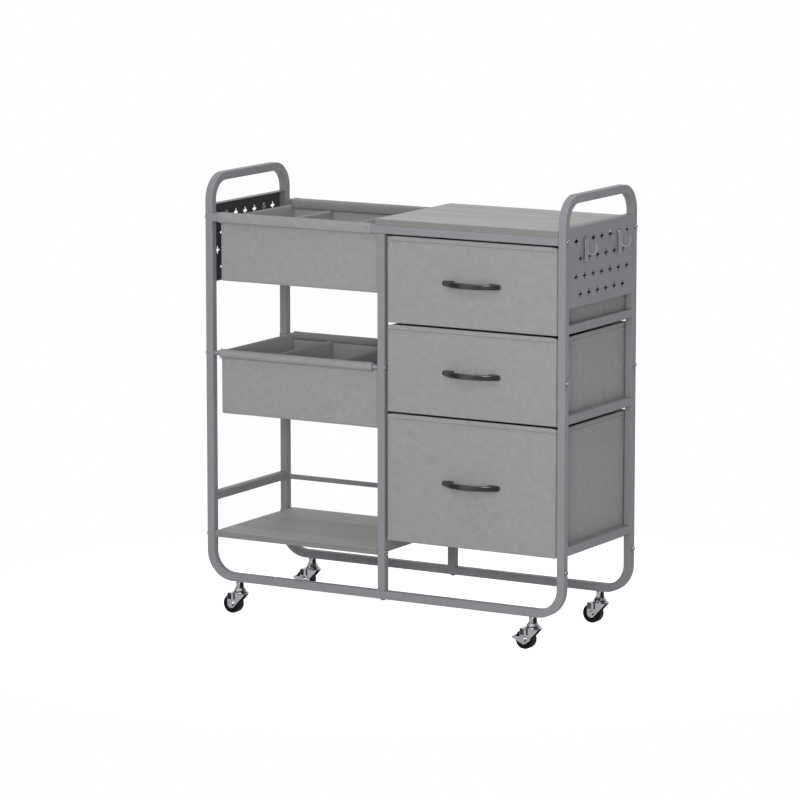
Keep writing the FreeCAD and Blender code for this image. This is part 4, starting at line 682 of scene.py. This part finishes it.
drawerCloth = {
    "panelThick": 3.0,
    "panelInset": 1.8,  # the panel is a little narrower than the box
    "panelCrown": 0.7,
    "panelWave": (0.35, 70.0, 50.0),  # depth, width and height
    "panelSeed": 3.1,
    "traySeed": 7.7,
    "wall": 2.0,
    "corner": 4.0,
    "hem": 12.5,  # folded band along the top edge
    "hemStitch": 9.0,
    "hemProud": 0.45,
    "hemGroove": (0.3, 0.6),  # depth and half width of the line the stitches pull in
    "endSeam": 5.0,  # from the panel's left and right edges
    "endGroove": (0.2, 0.7),
    "cornerSink": (1.4, 7.0),  # the panel's top corners: depth and half width
    "slack": 0.9,
    "step": 7.0,
    "rimDrop": 3.0,  # the side walls end below the front panel's top
    "threadProud": 0.1,
    "rowEnds": {"front": 4, "sideFront": 9, "sideRear": 6, "rear": 8},  # from the corners to the stitches
}


def drawerPanel(name, low, high, body, seed):
    # the stiff front: cloth drawn round a board, hemmed at the top, seamed at both ends
    size = drawerCloth
    radius, top = size["panelThick"] / 2, high[2]
    hem, hemStitch, endSeam = size["hem"], size["hemStitch"], size["endSeam"]
    middle = low[1] + radius
    arc = edgeArc(radius, 5)
    xs = spread(low[0], high[0], size["step"], arc + [endSeam + d for d in (-1.3, -0.6, 0.0, 0.6, 1.3)])
    depths = [2.5, 5.0] + [hemStitch + d for d in (-1.2, -0.5, 0.0, 0.5, 1.2)]
    depths += [hem + d for d in (-0.4, 0.0, 0.5, 2.5)]
    zs = spread(low[2], top, size["step"], arc)
    zs = [z for z in zs if not top - hem - 5 < z < top - radius - 0.2]
    zs = sorted(zs + [top - d for d in depths])

    def thickness(x, z):
        return bulge(min(x - low[0], high[0] - x, z - low[2], top - z, radius), radius)

    def front(x, z):
        inset, depth = thickness(x, z), top - z
        crown = size["panelCrown"] * held((x - low[0]) / (high[0] - low[0]), 0.4)
        crown *= held((z - low[2]) / (top - low[2]), 0.5)
        deep, wide, tall = size["panelWave"]
        wave = deep * noise.noise(Vector((x / wide, seed, z / tall)))
        proud = size["hemProud"] * (1 - ease((depth - hem + 0.4) / 0.8)) * ease(depth / 1.5)
        deep, wide = size["hemGroove"]
        pulled = deep * falloff(depth - hemStitch, wide)
        deep, wide = size["endGroove"]
        for edge in (x - low[0], high[0] - x):
            pulled += deep * falloff(edge - endSeam, wide)
        return middle - inset - (crown + wave + proud - pulled) * (inset / radius)

    def sink(x, z):
        # the top corners are softer than the rest of the edge
        deep, wide = size["cornerSink"]
        return deep * falloff(min(x - low[0], high[0] - x), wide) * ease((z - top + 20) / 20)

    rings = []
    for z in zs:
        ring = [(x, front(x, z), z - sink(x, z)) for x in xs]
        ring += [(x, middle + thickness(x, z), z - sink(x, z)) for x in reversed(xs[1:-1])]
        rings.append(ring)
    return ringSkin(name, rings, body, ["cloth"])


def drawerTray(name, low, high, body, seed):
    # the box behind the panel: four limp walls with a folded hem, open at the top
    size = drawerCloth
    wall, bottom, rim = size["wall"], low[2], high[2]
    hem, stitch, proud = size["hem"], size["hemStitch"], size["hemProud"]
    # (inset, height) from the middle of the floor, up the outside, over the rim and down the inside
    outside = [(40.0, bottom + 0.0), (12.0, bottom + 0.1), (3.0, bottom + 0.3), (1.2, bottom + 0.8),
               (0.3, bottom + 2.2), (0.0, bottom + 4.5)]
    outside += [(0.0, z) for z in spread(bottom + 10, rim - hem - 4, 12)]
    outside += [(0.0, rim - hem - 0.6), (-proud, rim - hem + 0.1), (-proud, rim - stitch - 1),
                (-0.1, rim - stitch), (-proud, rim - stitch + 1), (-proud, rim - 4), (-proud * 0.7, rim - 1.0)]
    over = [(inset, rim - 1.0 + lift) for inset, lift in foldedEdge(wall)]
    inside = [(wall, rim - 1.2), (wall, rim - hem)] + [(wall, z) for z in spread(rim - hem - 4, bottom + 6, 12)]
    inside += [(wall + 0.3, bottom + 3.4), (wall + 1.4, bottom + 2.1), (wall + 4, bottom + 2.0),
               (wall + 30, bottom + 2.0)]
    loop = roundedLoop(low, high, size["corner"], size["step"])
    rings = []
    for inset, z in outside + over + inside:
        height = (z - bottom) / (rim - bottom)
        ring = []
        for x, y, outX, outY, along, side in loop:
            move = slack(x, y, z, along, height, size["slack"], seed) - inset
            ring.append((x + outX * move, y + outY * move, z))
        rings.append(ring)
    return ringSkin(name, rings, body, ["cloth", "lining"], liningFrom=len(outside + over) - 1)


def sewDrawers():
    size = drawerCloth
    ends, proud = size["rowEnds"], size["threadProud"]
    for number in (1, 2, 3):
        node, body = f"drawer_{number}_box", f"drawer_{number}"
        low, high = boxOf(node)
        joinY, rim = low[1] + size["panelThick"], high[2] - size["rimDrop"]
        panelLow = (low[0] + size["panelInset"], low[1], low[2])
        panelHigh = (high[0] - size["panelInset"], joinY, high[2])
        panel = drawerPanel(f"drawer_{number}_front_cloth", panelLow, panelHigh, body, number * size["panelSeed"])
        tray = drawerTray(f"drawer_{number}_cloth", (low[0], joinY, low[2]), (high[0], high[1], rim),
                          body, number * size["traySeed"])
        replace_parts(tray, node)
        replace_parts(panel, node)
        face = low[1] - size["panelCrown"] * 0.4 - size["hemProud"] + 0.15
        z = high[2] - size["hemStitch"]
        rows = [((panelLow[0] + ends["front"], face, z), (panelHigh[0] - ends["front"], face, z), (0, -1, 0))]
        z = rim - size["hemStitch"]
        for x, out in ((low[0] - proud, -1), (high[0] + proud, 1)):
            rows.append(((x, low[1] + ends["sideFront"], z), (x, high[1] - ends["sideRear"], z), (out, 0, 0)))
        rear = high[1] + proud
        rows.append(((low[0] + ends["rear"], rear, z), (high[0] - ends["rear"], rear, z), (0, 1, 0)))
        stitchRows(f"drawer_{number}_stitches", rows, body)


sewDrawers()

basketCloth = {
    "wall": 2.0,
    "corner": 3.5,
    "step": 7.0,
    "slack": 1.4,
    # the rail's height, half its width with the cloth on and without, and the cloth's corner
    "upper": {"rail": (786.4, 9.6, 8.3, 3.6), "rim": 778.1, "endRim": 785.4, "ledge": 127.4,
              "shoulderDrop": 2.3, "seed": 5.0},
    "lower": {"rail": (517.4, 8.3, 5.4, 8.3), "rim": 512.1, "endRim": 522.9, "ledge": 129.4,
              "shoulderDrop": 3.3, "seed": 23.0},
    "sleeveEnds": (-371.0, -23.5),
    "box": (-369.5, -12.0),
    "halfDepth": 138.0,
    "middle": 7.35,
    "rimStitch": 7.8,
    "rimProud": 0.45,
    "endSeam": 4.8,  # closes the cloth at each end of the long walls
    "endHem": 9.0,
    "endStitch": 1.8,  # inwards from the hem's edge
    "pinch": 1.6,  # the sleeve is sewn to the box this far below its rail
    "threadProud": 0.1,
    "rowEnds": 4,
}


def basketTray(name, level, low):
    # a limp box hung between two rails: high at its ends, low along the rails
    size, own = basketCloth, basketCloth[level]
    wall, bottom, middle = size["wall"], low[2], size["middle"]
    left, right = size["box"]
    loop = roundedLoop((left, middle - size["halfDepth"]), (right, middle + size["halfDepth"]),
                       size["corner"], size["step"], (1.5, 3.0, 4.0, 4.8, 5.6, 6.6, 8.0, 10.0, 12.0))
    stitch, proud = size["rimStitch"], size["rimProud"]

    def rimAt(y):
        return own["rim"] + (own["endRim"] - own["rim"]) * ease((own["ledge"] + 1.5 - abs(y - middle)) / 3.0)

    # (inset, height) up the outside from the floor, then heights from the rim, then from the floor again
    outside = [(40.0, 0.0), (12.0, 0.1), (3.0, 0.3), (1.2, 0.8), (0.3, 2.2), (0.0, 4.5)]
    outside += [(0.0, z) for z in spread(12, 84, 9)]
    hem = [(0.0, -14.0), (-0.1, -11.3), (-proud, -10.6), (-proud, -stitch - 0.8), (-0.1, -stitch),
           (-proud, -stitch + 0.8), (-proud, -3.0), (-0.3, -1.0)]
    hem += [(inset, lift - 1.0) for inset, lift in foldedEdge(wall)]
    behind = [(wall, -1.2), (wall, -7.0), (wall, -14.0)]
    inside = [(wall, z) for z in spread(84, 12, 9)]
    inside += [(wall + 0.3, 3.6), (wall + 1.4, 2.2), (wall + 4, 2.0), (wall + 30, 2.0)]
    steps = [(inset, z, False) for inset, z in outside]
    steps += [(inset, z, True) for inset, z in hem + behind]
    steps += [(inset, z, False) for inset, z in inside]
    rings = []
    for inset, z, fromRim in steps:
        ring = []
        for x, y, outX, outY, along, side in loop:
            top = rimAt(y)
            here = top + z if fromRim else bottom + z
            height = (here - bottom) / (top - bottom)
            move = slack(x, y, here, along, height, size["slack"], own["seed"]) - inset
            if side in (0, 2) and inset < 0.5:
                edge = min(along, 1 - along) * (right - left)
                move -= 0.5 * falloff(edge - size["endSeam"], 0.9)
            ring.append((x + outX * move, y + outY * move, here))
        rings.append(ring)
    # the inside takes the lining drawn lighter, as painted light
    return ringSkin(name, rings, "cart", ["cloth", "basketLiningPaintedLight"],
                    liningFrom=len(outside + hem) - 1)


def railOutline(half, radius, foot):
    # (y, z) round a square or round rail, up from the foot's points, over the top and down again
    radius = min(radius, half - 0.01)
    flat = half - radius
    turns = [math.pi / 2 * i / 5 for i in range(6)]
    side = foot + [(-flat - radius * math.sin(t), -flat - radius * math.cos(t)) for t in turns[:-1]]
    side += [(-flat - radius * math.cos(t), flat + radius * math.sin(t)) for t in turns]
    return side + [(-y, z) for y, z in reversed(side)]


def basketSleeve(name, level, side):
    # the cloth goes over the rail and is sewn to the box just below it; the ends are hemmed
    size, own = basketCloth, basketCloth[level]
    railZ, outer, inner, corner = own["rail"]
    centreY = size["middle"] + side * size["halfDepth"]
    start, end = size["sleeveEnds"]
    wall = size["wall"] / 2 + 0.25
    hem, stitch = size["endHem"], size["endStitch"]
    outside = railOutline(outer, corner, [(-wall, -outer - size["pinch"]), (-wall - 0.5, -outer - 0.3)])
    hollow = railOutline(inner, corner, [(-0.3, -inner + 0.05), (-0.6, -inner + 0.02)])
    xs = spread(start, end, size["step"],
                (0.0, 0.5, 1.2, hem - stitch - 0.8, hem - stitch, hem - stitch + 0.8, hem, hem + 0.5))
    rings = []
    for x in xs:
        edge = min(x - start, end - x)
        proud = 0.35 * ease(edge) * (1 - ease((edge - hem + 0.1) / 0.5)) - 0.25 * falloff(edge - hem + stitch, 0.6)
        grown = proud - 0.8 * (1 - ease(edge))
        ring = []
        for y, z in outside:
            out = (grown if y > 0 else -grown) * (1 if abs(y) > wall + 0.1 else 0.3)  # less at the foot
            ring.append((x, centreY + y + out, railZ + z + (grown if z > 0 else 0)))
        rings.append(ring)
    for x in reversed(xs):
        wider = 1 + 0.4 * (1 - ease(min(x - start, end - x))) / inner
        rings.append([(x, centreY + y * wider, railZ + z * wider) for y, z in hollow])
    return ringSkin(name, rings, "cart", ["cloth"], wrap=True, flip=True)


dividerBoard = {
    "half": 2.0,  # half its thickness
    "halfWidth": 135.7,
    "flattened": 0.85,
    "binding": 8.6,
    "bindingProud": 0.3,
    "wave": (0.5, 50.0, 60.0, 45.0),  # depth, then sizes in x, y and z
}


def divider(name, level, x, low, high):
    # a board in cloth with a bound top edge, its shoulders cut away for the sleeves
    size, own, board = basketCloth, basketCloth[level], dividerBoard
    half, middle = board["half"], size["middle"]
    shoulder = own["rim"] - own["shoulderDrop"]
    neck = own["ledge"] - 0.1
    front, back = middle - board["halfWidth"], middle + board["halfWidth"]
    bottom, top = low[2], high[2]
    arc = edgeArc(half, 4)
    ys = spread(front, back, size["step"], arc + [6.0, 7.5, 8.2, 9.0, 10.5])
    zs = [bottom + a for a in arc] + spread(bottom + 6, top - 12, 9)
    zs += [top - board["binding"] + d for d in (-0.6, 0.0, 0.6, 2.6)] + [top - a for a in arc]
    deep, *waveSizes = board["wave"]
    rings = []
    for z in sorted(set(zs)):
        forward, backward = [], []
        for y in ys:
            away = abs(y - middle)
            topHere = shoulder + (top - shoulder) * ease((neck + 1.2 - away) / 2.4)
            height = bottom + (topHere - bottom) * (z - bottom) / (top - bottom)
            thick = bulge(min(y - front, back - y, z - bottom, top - z, half), half) * board["flattened"]
            binding = board["bindingProud"] * ease((z - top + board["binding"]) / 0.6) * ease(top - z)
            binding *= thick / half
            wave = deep * noise.noise(Vector([c / s for c, s in zip((x, y, z), waveSizes)]))
            wave *= math.sin(math.pi * (y - front) / (back - front))
            forward.append((x - thick - binding + wave, y, height))
            backward.append((x + thick + binding + wave, y, height))
        rings.append(forward + backward[1:-1][::-1])
    # the divider takes the lining drawn lighter, as painted light
    return ringSkin(name, rings, "cart", ["basketLiningPaintedLight"], flip=True)


def sewBaskets():
    size, middle, half = basketCloth, basketCloth["middle"], dividerBoard["half"]
    start, end = size["sleeveEnds"]
    inwards = size["endHem"] - size["endStitch"]
    for level in ("upper", "lower"):
        own = size[level]
        node = f"basket_{level}"
        tray = basketTray(f"{node}_cloth", level, boxOf(node)[0])
        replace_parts(tray, node)
        for side, word in ((-1, "front"), (1, "rear")):
            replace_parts(basketSleeve(f"{node}_sleeve_{word}", level, side), node)
        dividersNode = f"basket_{level}_dividers"
        low, high = boxOf(dividersNode)
        for word, x in (("left", low[0] + half), ("right", high[0] - half)):
            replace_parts(divider(f"basket_{level}_divider_{word}", level, x, low, high), dividersNode)
        rows = []
        if level == "upper":  # the lower sleeves are too round to take these short rows
            railZ, outer = own["rail"][:2]
            for side in (-1, 1):
                face = middle + side * (size["halfDepth"] + outer + 0.15)
                for x in (start + inwards, end - inwards):
                    rows.append(((x, face, railZ - outer * 0.6), (x, face, railZ + outer * 0.6), (0, side, 0)))
        reach, z = own["ledge"] - size["rowEnds"], own["endRim"] - size["rimStitch"]
        for x, out in zip(size["box"], (-1, 1)):
            x += out * size["threadProud"]
            rows.append(((x, middle - reach, z), (x, middle + reach, z), (out, 0, 0)))
        stitchRows(f"basket_{level}_stitches", rows, "cart")


sewBaskets()
